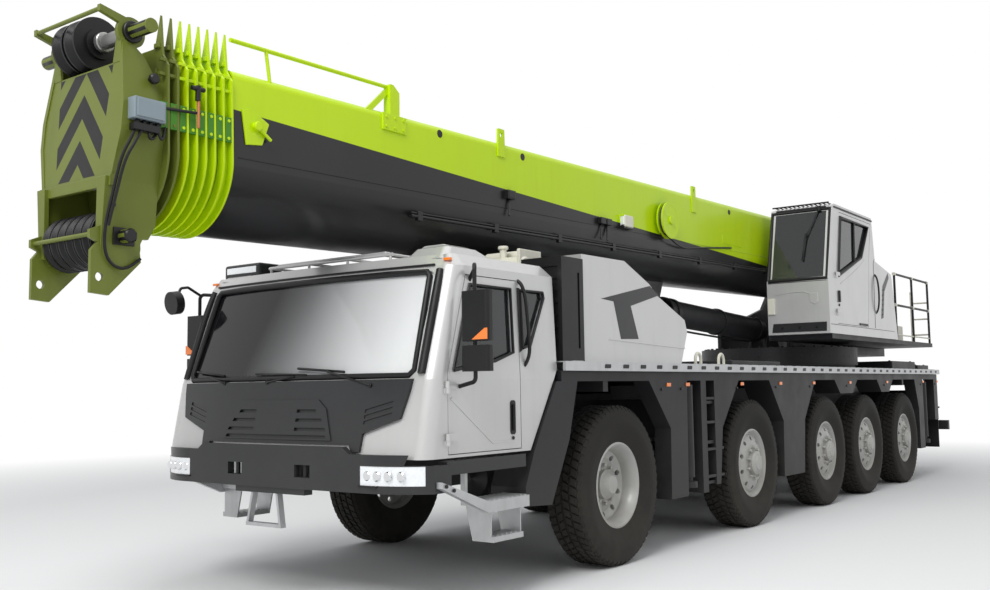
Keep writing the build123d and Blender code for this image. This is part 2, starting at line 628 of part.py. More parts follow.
def cab_solid(inset):
    """The cab's outer form, pulled in all round by inset."""
    low = cab_plan(inset, CAB_HALF_W, CAB_LOW_FRONT)
    waist = cab_plan(inset, CAB_HALF_W, CAB_WAIST_FRONT)
    high = cab_plan(inset, CAB_TOP_HALF_W, CAB_EAVE_FRONT)
    crown = cab_plan(inset + 70, CAB_TOP_HALF_W, CAB_EAVE_FRONT)
    lower = loft([Pos(0, 0, CAB_LOW_Z + inset) * low, Pos(0, 0, CAB_WAIST_Z) * waist], ruled=True)
    upper = loft([Pos(0, 0, CAB_WAIST_Z) * waist, Pos(0, 0, CAB_EAVE_Z - inset) * high], ruled=True)
    roof = loft([Pos(0, 0, CAB_EAVE_Z - inset) * high, Pos(0, 0, CAB_ROOF_Z - inset) * crown], ruled=True)
    shift = inset * 1.18
    slope = (CAB_NOTCH_HIGH[0] - CAB_NOTCH_LOW[0]) / (CAB_NOTCH_HIGH[1] - CAB_NOTCH_LOW[1])
    foot_y = CAB_NOTCH_LOW[0] - shift - 200 * slope
    head_y = CAB_NOTCH_HIGH[0] - shift + 200 * slope
    notch = side_plate([(foot_y, CAB_NOTCH_LOW[1] - 200), (head_y, CAB_NOTCH_HIGH[1] + 200),
                        (2 * head_y, CAB_NOTCH_LOW[1] - 200)], -CAB_REAR_Y, CAB_REAR_Y)
    return lower + upper + roof - notch


def door_outline(gap):
    """The door's outline in (y, z), pulled in by gap."""
    return [(DOOR_FRONT_Y + gap, DOOR_LOW_Z + gap), (DOOR_REAR_Y - gap, DOOR_LOW_Z + gap),
            (DOOR_REAR_Y - gap, DOOR_TOP_Z - gap), (DOOR_FRONT_TOP_Y + 1.2 * gap, DOOR_TOP_Z - gap),
            (DOOR_FRONT_Y + gap, DOOR_PILLAR_Z)]


def screen_prism(gap):
    """A prism with rounded corners through the windscreen's opening."""
    w = 2 * (SCREEN_HALF_W - gap)
    h = SCREEN_TOP_Z - SCREEN_LOW_Z - 2 * gap
    face = RectangleRounded(w, h, SCREEN_CORNER)
    plane = Plane(origin=(0, 520, (SCREEN_TOP_Z + SCREEN_LOW_Z) / 2), x_dir=(1, 0, 0), z_dir=(0, -1, 0))
    return extrude(plane * face, amount=800)


def build_cab():
    """The carrier's cab: shell, glass, doors, front panel, bumper, lamps, mirrors, steps and interior."""
    outer = cab_solid(0)
    shell = outer - cab_solid(CAB_WALL)
    shell -= screen_prism(0)
    for side in (1, -1):
        shell -= side_plate(door_outline(0), side * DOOR_INNER_X, side * 1600)
    shell -= side_plate(QUARTER_WINDOW, -1600, 1600)
    for side in (1, -1):
        for z in DOOR_HINGE_Z:
            shell += hinge_lug(side, z)
        shell += roof_fairing(side)
    shell += roof_rack()
    write_node("cab_shell", shell)
    glass = (cab_solid(CAB_GLASS_IN) - cab_solid(CAB_GLASS_IN + CAB_GLASS_T)) & screen_prism(SEAT_GAP)
    write_node("cab_glass", glass)
    skin = cab_solid(DOOR_INSET) - cab_solid(CAB_WALL - 4)
    for name, side in (("left", 1), ("right", -1)):
        door = skin & side_plate(door_outline(MOVE_GAP), side * (DOOR_INNER_X + MOVE_GAP), side * 1600)
        door -= side_plate(SIDE_WINDOW, side * 1000, side * 1600)
        for z in DOOR_HINGE_Z:
            door += hinge_sleeve(side, z)
        write_node(f"door_{name}", door)
    write_node("front_panel", front_panel())
    write_node("bumper", bumper())
    write_node("lamps", lamps())
    write_node("mirror_left", mirror_set(1))
    write_node("mirror_right", mirror_set(-1))
    write_node("steps", steps())
    write_node("cab_interior", cab_interior())


def roof_fairing(side):
    """A raised fairing on the roof, beside the boom, sloping down rearwards."""
    foot = Pos(side * FAIRING_X, 720, CAB_ROOF_Z - 30) * RectangleRounded(430, 720, 60)
    crest = Pos(side * FAIRING_X, 640, CAB_ROOF_Z + FAIRING_H) * RectangleRounded(330, 360, 50)
    return loft([foot, crest], ruled=True)


def roof_rack():
    """A low tube rack across the roof, between the fairings."""
    rack = rod((-RACK_HALF_W, RACK_Y, RACK_Z), (RACK_HALF_W, RACK_Y, RACK_Z), RACK_R)
    rack += rod((-RACK_HALF_W, RACK_Y + RACK_DEPTH, RACK_Z), (RACK_HALF_W, RACK_Y + RACK_DEPTH, RACK_Z),
                RACK_R)
    for x in (-RACK_HALF_W + 20, -220.0, 220.0, RACK_HALF_W - 20):
        rack += rod((x, RACK_Y, RACK_Z), (x, RACK_Y + RACK_DEPTH, RACK_Z), RACK_R * 0.8)
        for y in (RACK_Y, RACK_Y + RACK_DEPTH):
            rack += rod((x, y, RACK_Z), (x, y, CAB_ROOF_Z - 30), RACK_R * 0.8)
    return rack


def hinge_lug(side, z):
    """A lug on the cab with the pin that the door turns on."""
    x = side * DOOR_HINGE_X
    lug = box(side * (CAB_TOP_HALF_W - 20), x, DOOR_FRONT_Y - 45, DOOR_FRONT_Y - 5, z - 60, z - 25)
    lug += rod((x, DOOR_FRONT_Y - 20, z - 60), (x, DOOR_FRONT_Y - 20, z - 25), HINGE_R)
    lug += rod((x, DOOR_FRONT_Y - 20, z - 30), (x, DOOR_FRONT_Y - 20, z + 24), HINGE_PIN_R)
    return lug


def hinge_sleeve(side, z):
    """The door's sleeve on that pin, with a strap to the door's skin."""
    x = side * DOOR_HINGE_X
    y = DOOR_FRONT_Y - 20
    strap = box(side * (DOOR_HINGE_X - 8), side * (DOOR_HINGE_X + 8), y, DOOR_FRONT_Y + 70, z - 24, z + 24)
    foot = box(side * (CAB_TOP_HALF_W - 20), side * (DOOR_HINGE_X + 8), DOOR_FRONT_Y + 25, DOOR_FRONT_Y + 70,
               z - 24, z + 24)
    sleeve = rod((x, y, z - 24), (x, y, z + 24), HINGE_R) + strap + foot
    return sleeve - rod((x, y, z - 30), (x, y, z + 30), HINGE_PIN_R + RUN_FIT)


def front_panel():
    """Dark panel under the windscreen that follows the bowed front: stepped sides, raised middle, louvres."""
    outline = front_plate(PANEL, -400, 400)
    panel = (cab_solid(-PANEL_T) - cab_solid(-SEAT_GAP)) & outline
    raised = (cab_solid(-PANEL_T - 12) - cab_solid(-10)) & front_plate(PANEL_RAISED, -400, 400)
    panel += raised
    outer = cab_solid(-PANEL_T - 20)
    for low, x_in, x_out in PANEL_LOUVRES:
        slot = front_plate([(x_in, low), (x_out, low), (x_out - 14, low + LOUVRE_H), (x_in, low + LOUVRE_H)],
                           -400, 400)
        cutter = (outer - cab_solid(-PANEL_T + 8)) & slot
        panel -= cutter
        panel -= mirrored(cutter)
    for low in CORNER_LOUVRES:
        slot = front_plate([(880, low), (1120, low + 60), (1120, low + 60 + LOUVRE_H), (880, low + LOUVRE_H)],
                           -400, 400)
        cutter = (outer - cab_solid(-PANEL_T + 8)) & slot
        panel -= cutter
        panel -= mirrored(cutter)
    return panel


def bumper_plan(inset):
    """The bumper's outline from above: nearly flat middle and swept ends."""
    hw = BUMPER_HALF_W - inset
    cx = 950.0 - inset * 0.3
    front = BUMPER_FRONT_Y + inset
    bow = ThreePointArc((-cx, front + 15), (0, front), (cx, front + 15))
    left = ThreePointArc((cx, front + 15), (1230 - inset * 0.6, front + 62), (hw, 20))
    right = ThreePointArc((-hw, 20), (inset * 0.6 - 1230, front + 62), (-cx, front + 15))
    tail = Polyline((hw, 20), (hw, BUMPER_REAR_Y), (-hw, BUMPER_REAR_Y), (-hw, 20))
    return make_face(bow + left + tail + right)


def bumper():
    """Bowed bumper, open at the back: raised middle, tow openings, lamp openings and the sills behind it."""
    body = extrude(Pos(0, 0, BUMPER_LOW_Z) * bumper_plan(0), amount=BUMPER_TOP_Z - BUMPER_LOW_Z)
    middle = extrude(Pos(0, 0, BUMPER_TOP_Z - 1) * bumper_plan(0), amount=BUMPER_RISE + 1)
    body += middle & front_plate([(-840, BUMPER_TOP_Z - 1), (840, BUMPER_TOP_Z - 1),
                                  (770, BUMPER_TOP_Z + BUMPER_RISE), (-770, BUMPER_TOP_Z + BUMPER_RISE)],
                                 -400, 400)
    body -= extrude(Pos(0, 0, BUMPER_LOW_Z - 30) * bumper_plan(60), amount=BUMPER_TOP_Z)
    body -= box(-1300, 1300, BUMPER_REAR_Y - 60, BUMPER_REAR_Y + 10, 700, 1200)
    body -= cab_solid(-PANEL_T - 16)
    body += box(-380, 380, BUMPER_FRONT_Y + 20, BUMPER_FRONT_Y + 100, BUMPER_LOW_Z - 45, BUMPER_LOW_Z + 10)
    for side in (1, -1):
        body -= box(side * (TOW_X - 80), side * (TOW_X + 80), -400, 100, TOW_Z - 45, TOW_Z + 45)
        body -= box(side * LAMP_X0, side * LAMP_X1, -400, BUMPER_REAR_Y - 60, LAMP_LOW_Z, LAMP_TOP_Z)
        body += box(side * (FRAME_HALF_W - RAIL_T), side * FRAME_HALF_W, BUMPER_FRONT_Y + 40,
                    FRAME_FRONT_Y - SEAT_GAP, 840, 900)
        body += box(side * 1370, side * (BUMPER_HALF_W - 5), BUMPER_REAR_Y - 40, 1095, 940, 1035)
    return body


def lamps():
    """Headlamps in the bumper and tail lamps on the rear beam."""
    pieces = []
    for side in (1, -1):
        lamp = extrude(Pos(0, 0, LAMP_LOW_Z + SEAT_GAP) * bumper_plan(4),
                       amount=LAMP_TOP_Z - LAMP_LOW_Z - 2 * SEAT_GAP)
        lamp -= extrude(Pos(0, 0, LAMP_LOW_Z - 10) * bumper_plan(56), amount=200)
        lamp = lamp & box(side * (LAMP_X0 + SEAT_GAP), side * (LAMP_X1 - SEAT_GAP), -400, BUMPER_REAR_Y - 62,
                          LAMP_LOW_Z, LAMP_TOP_Z)
        pieces.append(lamp)
        lamp_y = TAIL_BEAM_Y + TAIL_BEAM_W + SEAT_GAP
        pieces.append(box(side * 1050, side * 1420, lamp_y, lamp_y + 45, TAIL_BEAM_Z + 10, TAIL_BEAM_Z + 150))
    return pieces


def bent_rod(points, radius):
    """A round rod bent through several points."""
    path = FilletPolyline(*points, radius=ROD_BEND)
    return sweep(Plane(origin=path @ 0, z_dir=path % 0) * Circle(radius), path=path)


def mirror_set(side):
    """A door's mirrors: a tall housing with a small one below it, on an arm that is fixed to the door twice."""
    y = MIRROR_Y[side]
    outer = side * MIRROR_X
    arm = bent_rod([(side * 1380, MIRROR_ROOT_Y, 2310), (side * 1470, MIRROR_ROOT_Y - 40, 2390),
                    (outer, y, 2400),
                    (outer, y, 1580), (side * 1410, y + 40, 1545)], MIRROR_ARM_R)
    for low, high in ((1860.0, 2210.0), (1650.0, 1830.0)):
        shell = Pos(side * 1620, y, (low + high) / 2) * Box(240, 80, high - low)
        arm += fillet(shell.edges().filter_by(Axis.Z), 28)
    if side < 0:
        arm += bent_rod([(-MIRROR_X, y, 2395), (-1585, 260, 2455), (-1565, 170, 2440), (-1548, 110, 2330)],
                        12)
        arm += rod((-1550, 60, 2300), (-1545, 135, 2312), ROUND_MIRROR_R)
    return arm - cab_solid(DOOR_INSET - SEAT_GAP)


def steps():
    """The front step below the bumper and the two side steps with their arms."""
    low = BUMPER_LOW_Z - BUMPER_CHIN - SEAT_GAP
    front = box(*FRONT_STEP_X, *FRONT_STEP_Y, *FRONT_STEP_Z)
    for x, lean in ((FRONT_STEP_X[0], 60.0), (FRONT_STEP_X[1] - 20, -40.0)):
        hanger = [(x, FRONT_STEP_Z[0]), (x + 22, FRONT_STEP_Z[0]), (x + 22 + lean, low), (x + lean, low)]
        front += front_plate(hanger, *FRONT_STEP_Y)
    pieces = [front]
    for side in (1, -1):
        root = side * STEP_ROOT_X
        edge = side * STEP_EDGE_X
        inner = side * LOWER_STEP_X
        tread = box(root, edge, *STEP_Y, *STEP_Z)
        tread += box(side * (STEP_EDGE_X - 30), edge, *STEP_Y, STEP_Z[1] - STEP_LIP, STEP_Z[1])
        tread += box(inner, edge, *LOWER_STEP_Y, *LOWER_STEP_Z)
        for y in (LOWER_STEP_Y[0], LOWER_STEP_Y[1] - STEP_PLATE_T):
            cheek = [(root, STEP_Z[0] + 2), (side * (STEP_EDGE_X - 20), STEP_Z[0] + 2),
                     (side * (STEP_EDGE_X - 20), LOWER_STEP_Z[0] + 4), (inner, LOWER_STEP_Z[0] + 4)]
            tread += front_plate(cheek, y, y + STEP_PLATE_T)
        arm_x = side * (CAB_HALF_W + 20 + SEAT_GAP)
        tread += side_plate(STEP_ARM, min(arm_x, edge), max(arm_x, edge))
        tread += box(root, root + side * 40, STEP_Y[0], STEP_Y[0] + 30, STEP_Z[0], BUMPER_LOW_Z + 113)
        pieces.append(tread)
    return pieces


def cab_interior():
    """Floor, dashboard, steering wheel and two seats."""
    floor_z = CAB_LOW_Z + CAB_WALL + SEAT_GAP
    body = box(-FLOOR_HALF_W, FLOOR_HALF_W, 150, 1050, floor_z, floor_z + 30)
    body += box(-DASH_HALF_W, DASH_HALF_W, 150, DASH_REAR_Y, floor_z + 20, DASH_TOP_Z)
    for side in (1, -1):
        body += box(side * SEAT_X[0], side * SEAT_X[1], 750, 1230, floor_z + 250, floor_z + SEAT_H)
        body += box(side * (SEAT_X[0] + 50), side * (SEAT_X[1] - 50), 800, 1000, floor_z + 20, floor_z + 260)
        body += box(side * SEAT_X[0], side * SEAT_X[1], 1150, 1280, floor_z + SEAT_H - 10, SEAT_TOP_Z)
    wheel_x = (SEAT_X[0] + SEAT_X[1]) / 2
    body += rod((wheel_x, 400, 1520), (wheel_x, 560, 1640), 25)
    body += tube((wheel_x, 545, 1625), (wheel_x, 565, 1645), STEERING_R, STEERING_R - 25)
    body += rod((wheel_x, 555, 1635), (wheel_x, 560, 1642), STEERING_R - 20)
    return body


# ---------------------------------------------------------------- hoods


def side_hood():
    """Silver hood over the engine bay's left side, open at its foot."""
    face = make_face(Polyline(*HOOD, close=True))
    body = extrude(Plane.YZ.offset(600) * face, amount=820)
    inner = offset(face, amount=-25)
    body -= extrude(Plane.YZ.offset(625) * inner, amount=770)
    body -= box(625, 1395, 2030, 3740, DECK_TOP_Z - 10, DECK_TOP_Z + 60)
    return body


def intake_tower():
    """Black air intake behind the cab, with slats towards the front."""
    body = box(1050, 1450, 1630, 1960, DECK_TOP_Z + SEAT_GAP, 2600)
    body -= box(1075, 1425, 1655, 1935, DECK_TOP_Z - 10, 2575)
    for k in range(7):
        z = 1860 + 100 * k
        body -= box(1090, 1410, 1620, 1642, z, z + 60)
    body -= box(1438, 1460, 1870, 1900, 1850, 2480)
    return body


# ---------------------------------------------------------------- superstructure
def turntable_frame():
    """Round base plate, the cheeks that carry the boom's pin, the cylinder's foot and the winch bay."""
    base = rod((0, SLEW_Y, SLEW_Z), (0, SLEW_Y, SLEW_Z + TABLE_T), RING_R)
    base += box(-CHEEK_X - CHEEK_T, CHEEK_X + CHEEK_T, SLEW_Y, 13500, SLEW_Z, SLEW_Z + TABLE_T)
    outline = [(8950, SLEW_Z + 20), (13500, SLEW_Z + 20), (13500, 2600), (13150, 3050), (12200, 3100),
               (BOOM_PIVOT_Y + 260, BOOM_PIVOT_Z + 60), (BOOM_PIVOT_Y + 130, BOOM_PIVOT_Z + 230),
               (BOOM_PIVOT_Y - 130, BOOM_PIVOT_Z + 230), (BOOM_PIVOT_Y - 300, BOOM_PIVOT_Z), (10600, 2750),
               (9500, 2480), (8950, 2300)]
    for side in (1, -1):
        base += side_plate(outline, min(side * CHEEK_X, side * (CHEEK_X + CHEEK_T)),
                           max(side * CHEEK_X, side * (CHEEK_X + CHEEK_T)))
        base += side_plate([(LIFT_FOOT_Y - 140, SLEW_Z + 20), (LIFT_FOOT_Y + 400, SLEW_Z + 20),
                            (LIFT_FOOT_Y + 100, LIFT_FOOT_Z + 95), (LIFT_FOOT_Y - 90, LIFT_FOOT_Z + 95)],
                           min(side * 100, side * 140), max(side * 100, side * 140))
    base += rod((-CHEEK_X - CHEEK_T, BOOM_PIVOT_Y, BOOM_PIVOT_Z), (CHEEK_X + CHEEK_T, BOOM_PIVOT_Y,
                                                                   BOOM_PIVOT_Z),
                BOOM_PIN_R)
    base += rod((-140, LIFT_FOOT_Y, LIFT_FOOT_Z), (140, LIFT_FOOT_Y, LIFT_FOOT_Z), LIFT_PIN_R)
    base += box(-140, 140, LIFT_FOOT_Y - 140, SLEW_Y, SLEW_Z + 5, SLEW_Z + TABLE_T)
    base += rod((-CHEEK_X - 10, WINCH_Y, WINCH_Z), (CHEEK_X + 10, WINCH_Y, WINCH_Z), WINCH_SHAFT_R)
    base += box(CHEEK_X + CHEEK_T - 10, 1420, 11240, 13300, 2130, OPCAB_LOW_Z - SEAT_GAP)
    base += box(CHEEK_X + CHEEK_T - 10, 1420, 8200, 11250, 2130, OPCAB_LOW_Z - SEAT_GAP)
    for y in (11300.0, 12270.0, 13250.0):
        base += rod((1390, y, 2150), (1390, y, 3250), 18)
    for z in (2750.0, 3240.0):
        base += rod((1390, 11300, z), (1390, 13250, z), 18)
    return base


def winch_drum():
    """Rope drum between two flanges."""
    drum = rod((-WINCH_HALF_W, WINCH_Y, WINCH_Z), (WINCH_HALF_W, WINCH_Y, WINCH_Z), WINCH_R)
    for side in (1, -1):
        drum += rod((side * WINCH_HALF_W, WINCH_Y, WINCH_Z), (side * (WINCH_HALF_W - 30), WINCH_Y, WINCH_Z),
                    WINCH_FLANGE_R)
    return drum - rod((-600, WINCH_Y, WINCH_Z), (600, WINCH_Y, WINCH_Z), WINCH_SHAFT_R + RUN_FIT)


def operator_cab():
    """The crane operator's cab: hollow shell with its front glass, door and window openings cut."""
    face = make_face(Polyline(*OPCAB, close=True))
    shell = extrude(Plane.YZ.offset(OPCAB_X0) * face, amount=OPCAB_X1 - OPCAB_X0)
    inner = offset(face, amount=-OPCAB_WALL)
    shell -= extrude(Plane.YZ.offset(OPCAB_X0 + OPCAB_WALL) * inner,
                     amount=OPCAB_X1 - OPCAB_X0 - 2 * OPCAB_WALL)
    shell -= side_plate(OPDOOR, 1300, 1600)
    shell -= box(OPCAB_X0 + 70, OPCAB_X1 - 70, 7900, 8420, 2950, 3860)
    for z in (2500.0, 3000.0):
        shell += Pos(0, 0, 0) * op_hinge_lug(z)
    return shell


def op_hinge_lug(z):
    """A lug with a pin at the front edge of the operator's door."""
    x = OPCAB_X1 + HINGE_R + 1
    y = OPDOOR_HINGE_Y
    lug = box(OPCAB_X1 - 30, x, y - 30, y + 10, z - 60, z - 25)
    lug += rod((x, y, z - 60), (x, y, z - 25), HINGE_R)
    lug += rod((x, y, z - 30), (x, y, z + 24), HINGE_PIN_R)
    return lug


def operator_door():
    """The operator's side door with its window cut and two hinge sleeves."""
    face = make_face(Polyline(*OPDOOR, close=True))
    panel = extrude(Plane.YZ.offset(OPCAB_X1 - OPCAB_WALL) * offset(face, amount=-MOVE_GAP),
                    amount=OPCAB_WALL - 2)
    panel -= side_plate([(8460, 2980), (9480, 3320), (9840, 3800), (8640, 3800)], 1300, 1600)
    x = OPCAB_X1 + HINGE_R + 1
    y = OPDOOR_HINGE_Y
    for z in (2500.0, 3000.0):
        strap = box(x - 8, x + 8, y, y + 110, z - 24, z + 24)
        strap += box(OPCAB_X1 - 20, x + 8, y + 45, y + 110, z - 24, z + 24)
        sleeve = rod((x, y, z - 24), (x, y, z + 24), HINGE_R) + strap
        panel += sleeve - rod((x, y, z - 30), (x, y, z + 30), HINGE_PIN_R + RUN_FIT)
    return panel


def operator_glass():
    """Front glass of the operator's cab."""
    return side_plate([(8075, 2951), (8083, 2951), (8321, 3859), (8313, 3859)], OPCAB_X0 + 70.3,
                      OPCAB_X1 - 70.3)


def lift_angle():
    """The lift cylinder's slope at rest, in degrees above level, pointing forwards."""
    return degrees(atan2(LIFT_HEAD_Z - LIFT_FOOT_Z, LIFT_FOOT_Y - LIFT_HEAD_Y))


def lift_length():
    """Pin to pin length of the lift cylinder at rest."""
    return hypot(LIFT_HEAD_Z - LIFT_FOOT_Z, LIFT_FOOT_Y - LIFT_HEAD_Y)


def lift_place():
    """Stands a piece that is built along -Y from the foot pin on the cylinder's slope."""
    return Pos(0, LIFT_FOOT_Y, LIFT_FOOT_Z) * Rot(-lift_angle(), 0, 0)


def lift_barrel():
    """The luffing cylinder's barrel with its foot eye."""
    barrel = rod((0, -150, 0), (0, -LIFT_BARREL_L, 0), LIFT_BARREL_R)
    barrel -= rod((0, -250, 0), (0, -LIFT_BARREL_L + 80, 0), LIFT_BORE_R)
    barrel -= rod((0, -LIFT_BARREL_L + 200, 0), (0, -LIFT_BARREL_L - 10, 0), LIFT_ROD_R + RUN_FIT)
    barrel += rod((-90, 0, 0), (90, 0, 0), LIFT_EYE_R)
    barrel += box(-90, 90, -200, 0, -90, 90)
    barrel -= rod((-100, 0, 0), (100, 0, 0), LIFT_PIN_R + RUN_FIT)
    return lift_place() * barrel


def lift_rod():
    """The luffing cylinder's rod with the eye that meets the boom's pin."""
    length = lift_length()
    bar = rod((0, -280, 0), (0, -length + 60, 0), LIFT_ROD_R)
    bar += rod((-LIFT_EYE_W / 2, -length, 0), (LIFT_EYE_W / 2, -length, 0), LIFT_EYE_R)
    bar -= rod((-200, -length, 0), (200, -length, 0), LIFT_PIN_R + LIFT_EYE_PLAY)
    return lift_place() * bar


# ---------------------------------------------------------------- boom
def boom_profile(index, grow=0.0):
    """Cross-section of boom section number index: flat top with round corners, U-shaped bottom."""
    inset = index * SECTION_STEP - grow
    hw = BOOM_HALF_W - inset
    top = BOOM_TOP_DZ - inset
    low = BOOM_TOP_DZ - BOOM_H + inset
    r = BOOM_TOP_R
    knee = low + hw * 0.92
    arc = ThreePointArc((-hw, knee), (0, low), (hw, knee))
    right = Line((hw, knee), (hw, top - r))
    right_corner = ThreePointArc((hw, top - r), (hw - r * 0.293, top - r * 0.293), (hw - r, top))
    lid = Line((hw - r, top), (r - hw, top))
    left_corner = ThreePointArc((r - hw, top), (r * 0.293 - hw, top - r * 0.293), (-hw, top - r))
    left = Line((-hw, top - r), (-hw, knee))
    return make_face(arc + right + right_corner + lid + left_corner + left)


def along_boom(face, y_front, y_rear):
    """A cross-section drawn from y_front to y_rear, both stations on the level boom."""
    plane = Plane(origin=(0, y_rear - BOOM_PIVOT_Y, 0), x_dir=(1, 0, 0), z_dir=(0, -1, 0))
    return extrude(plane * face, amount=y_rear - y_front)


def boom_place(shape):
    """Sets a piece, built round the boom's pin, at its place and slope."""
    return Pos(0, BOOM_PIVOT_Y, BOOM_PIVOT_Z) * Rot(BOOM_TILT_DEG, 0, 0) * shape


def collar_profile():
    """Outline of a collar plate: it follows the boom's U and ends above in two upright ears."""
    hw = BOOM_HALF_W + COLLAR_PROUD
    low = BOOM_TOP_DZ - BOOM_H - COLLAR_PROUD
    knee = low + hw * 0.92
    arc = ThreePointArc((-hw, knee), (0, low), (hw, knee))
    rim = Polyline((hw, knee), *COLLAR_TOP, *[(-x, z) for x, z in reversed(COLLAR_TOP)], (-hw, knee))
    return make_face(arc + rim)


def collar_y(number):
    """Rear face of collar plate number, counted from the rear."""
    return BOOM_FRONT_Y - 20 - COLLAR_PITCH * number


def boom_base():
    """The boom's base section with its pivot bosses, the cylinder's ears and the pads in its mouth."""
    rear = BOOM_PIVOT_Y - 500
    body = along_boom(boom_profile(0), BOOM_FRONT_Y, rear) - along_boom(boom_profile(0, -BOOM_WALL),
                                                                     BOOM_FRONT_Y - 10, rear - 40)
    body += slide_pad(0, BOOM_FRONT_Y + 10)
    body += box(-BOOM_HALF_W, BOOM_HALF_W, -520, 60, -180, 180) - box(-330, 330, -480, 200, -200, 200)
    for side in (1, -1):
        body += rod((side * 330, 0, 0), (side * (CHEEK_X - MOVE_GAP), 0, 0), 200)
    body -= rod((-600, 0, 0), (600, 0, 0), BOOM_PIN_R + RUN_FIT)
    placed = boom_place(body)
    head_y = LIFT_HEAD_Y
    head_z = LIFT_HEAD_Z
    for side in (1, -1):
        ear = side_plate([(head_y - 120, head_z - 90), (head_y + 120, head_z - 90), (head_y + 330,
                                                                                     head_z + 360),
                          (head_y - 330, head_z + 360)], min(side * 100, side * 140), max(side * 100,
                                                                                          side * 140))
        placed += ear - boom_place(along_boom(boom_profile(0, -BOOM_WALL), BOOM_FRONT_Y, rear))
    placed += rod((-140, head_y, head_z), (140, head_y, head_z), LIFT_PIN_R)
    return placed + boom_fittings()


def boom_fittings():
    """Guide rail, lifting lugs, hose reel and rest bracket on the base section's left side and foot."""
    x = BOOM_HALF_W
    gear = rod((RAIL_X, -915, 3937), (RAIL_X, 690, 3969), RAIL_R)
    gear += rod((RAIL_X, -600, 3943), (RAIL_X, -560, 3700), RAIL_R * 0.8)
    gear += side_plate([(650, 3700), (760, 3700), (760, 3930), (690, 3985), (650, 3985)], RAIL_X - 30, x + 12)
    gear += side_plate([(350, 3690), (420, 3690), (690, 3940), (650, 3965)], RAIL_X - 10, RAIL_X + 12)
    for y, top in LUG_PLACES:
        lug = side_plate([(y - 55, 3650), (y + 55, 3650), (y + 45, top), (y - 45, top)], x - 8, x + 14)
        lug -= rod((x - 20, y, top - 55), (x + 30, y, top - 55), 24)
        gear += lug + mirrored(lug)
    reel_y, reel_z = REEL_PLACE
    gear += rod((x - 6, reel_y, reel_z), (x + 70, reel_y, reel_z), 60)
    reel = rod((x + 40, reel_y, reel_z), (x + 52, reel_y, reel_z), REEL_R)
    reel += rod((x + 98, reel_y, reel_z), (x + 110, reel_y, reel_z), REEL_R)
    gear += reel + rod((x + 40, reel_y, reel_z), (x + 110, reel_y, reel_z), REEL_R * 0.62)
    gear += box(x - 6, x + 60, 4300, 4500, 3240, 3390)
    gear += box(x - 6, x + 45, 2200, 2320, 3270, 3350)
    inside = boom_place(along_boom(boom_profile(0, -BOOM_WALL), BOOM_FRONT_Y - 10, BOOM_PIVOT_Y - 540))
    return gear - inside


def slide_pad(index, y_front):
    """Bearing pad in the mouth of section number index, under the next one."""
    outer = boom_profile(index, -(SECTION_WALL - 2))
    inner = boom_profile(index + 1, SEAT_GAP)
    ring = along_boom(outer, y_front, y_front + 150) - along_boom(inner, y_front - 10, y_front + 160)
    return ring & box(-240, 240, -20000, 20000, -1200, 0)


def boom_section(index):
    """A telescopic section: a long tube with two collar plates at its front end."""
    front = collar_y(2 * index - 1) - COLLAR_T
    rear = BOOM_PIVOT_Y - 900 - 150 * index
    body = along_boom(boom_profile(index), front, rear)
    body -= along_boom(boom_profile(index, -SECTION_WALL), front - 10, rear + 10)
    for number in (2 * index - 2, 2 * index - 1):
        y = collar_y(number)
        plate = along_boom(collar_profile(), y - COLLAR_T, y)
        plate -= along_boom(boom_profile(index, -SECTION_WALL / 2), y - COLLAR_T - 10, y + 10)
        body += plate
    if index < SECTION_COUNT:
        body += slide_pad(index, front + 10)
    return boom_place(body)


def head_cheek():
    """One bent cheek of the boom's head: strips that lean with its width, round at its pins."""
    side = side_plate(HEAD_SIDE, 0, 600)
    side += rod((0, UPPER_SHEAVE_Y, UPPER_SHEAVE_Z), (600, UPPER_SHEAVE_Y, UPPER_SHEAVE_Z), HEAD_EAR_R)
    side += rod((0, LOWER_SHEAVE_Y, LOWER_SHEAVE_Z - 60), (600, LOWER_SHEAVE_Y, LOWER_SHEAVE_Z - 60),
                HEAD_FOOT_R)
    strips = None
    for (low, x_low), (high, x_high) in zip(HEAD_WIDTHS, HEAD_WIDTHS[1:]):
        strip = front_plate([(x_low - HEAD_CHEEK_T, low), (x_low, low), (x_high, high),
                             (x_high - HEAD_CHEEK_T, high)],
                            -2000, HEAD_REAR_Y)
        strips = strip if strips is None else strips + strip
    bracket = side_plate([(-1860, 3925), (-1860, 3885), (-1700, 3840), (-1660, 3885)], 352, 384)
    return (strips & side) + bracket


def head_web(low, high):
    """A block from cheek to cheek between two heights, for the plates that join them."""
    widths = [(x, z) for z, x in HEAD_WIDTHS if low < z < high]
    below = [(x, z) for z, x in HEAD_WIDTHS if z <= low][-1][0]
    above = [(x, z) for z, x in HEAD_WIDTHS if z >= high][0][0]
    right = [(below, low)] + widths + [(above, high)]
    left = [(-x, z) for x, z in reversed(right)]
    return front_plate(right + left, -2000, HEAD_REAR_Y)


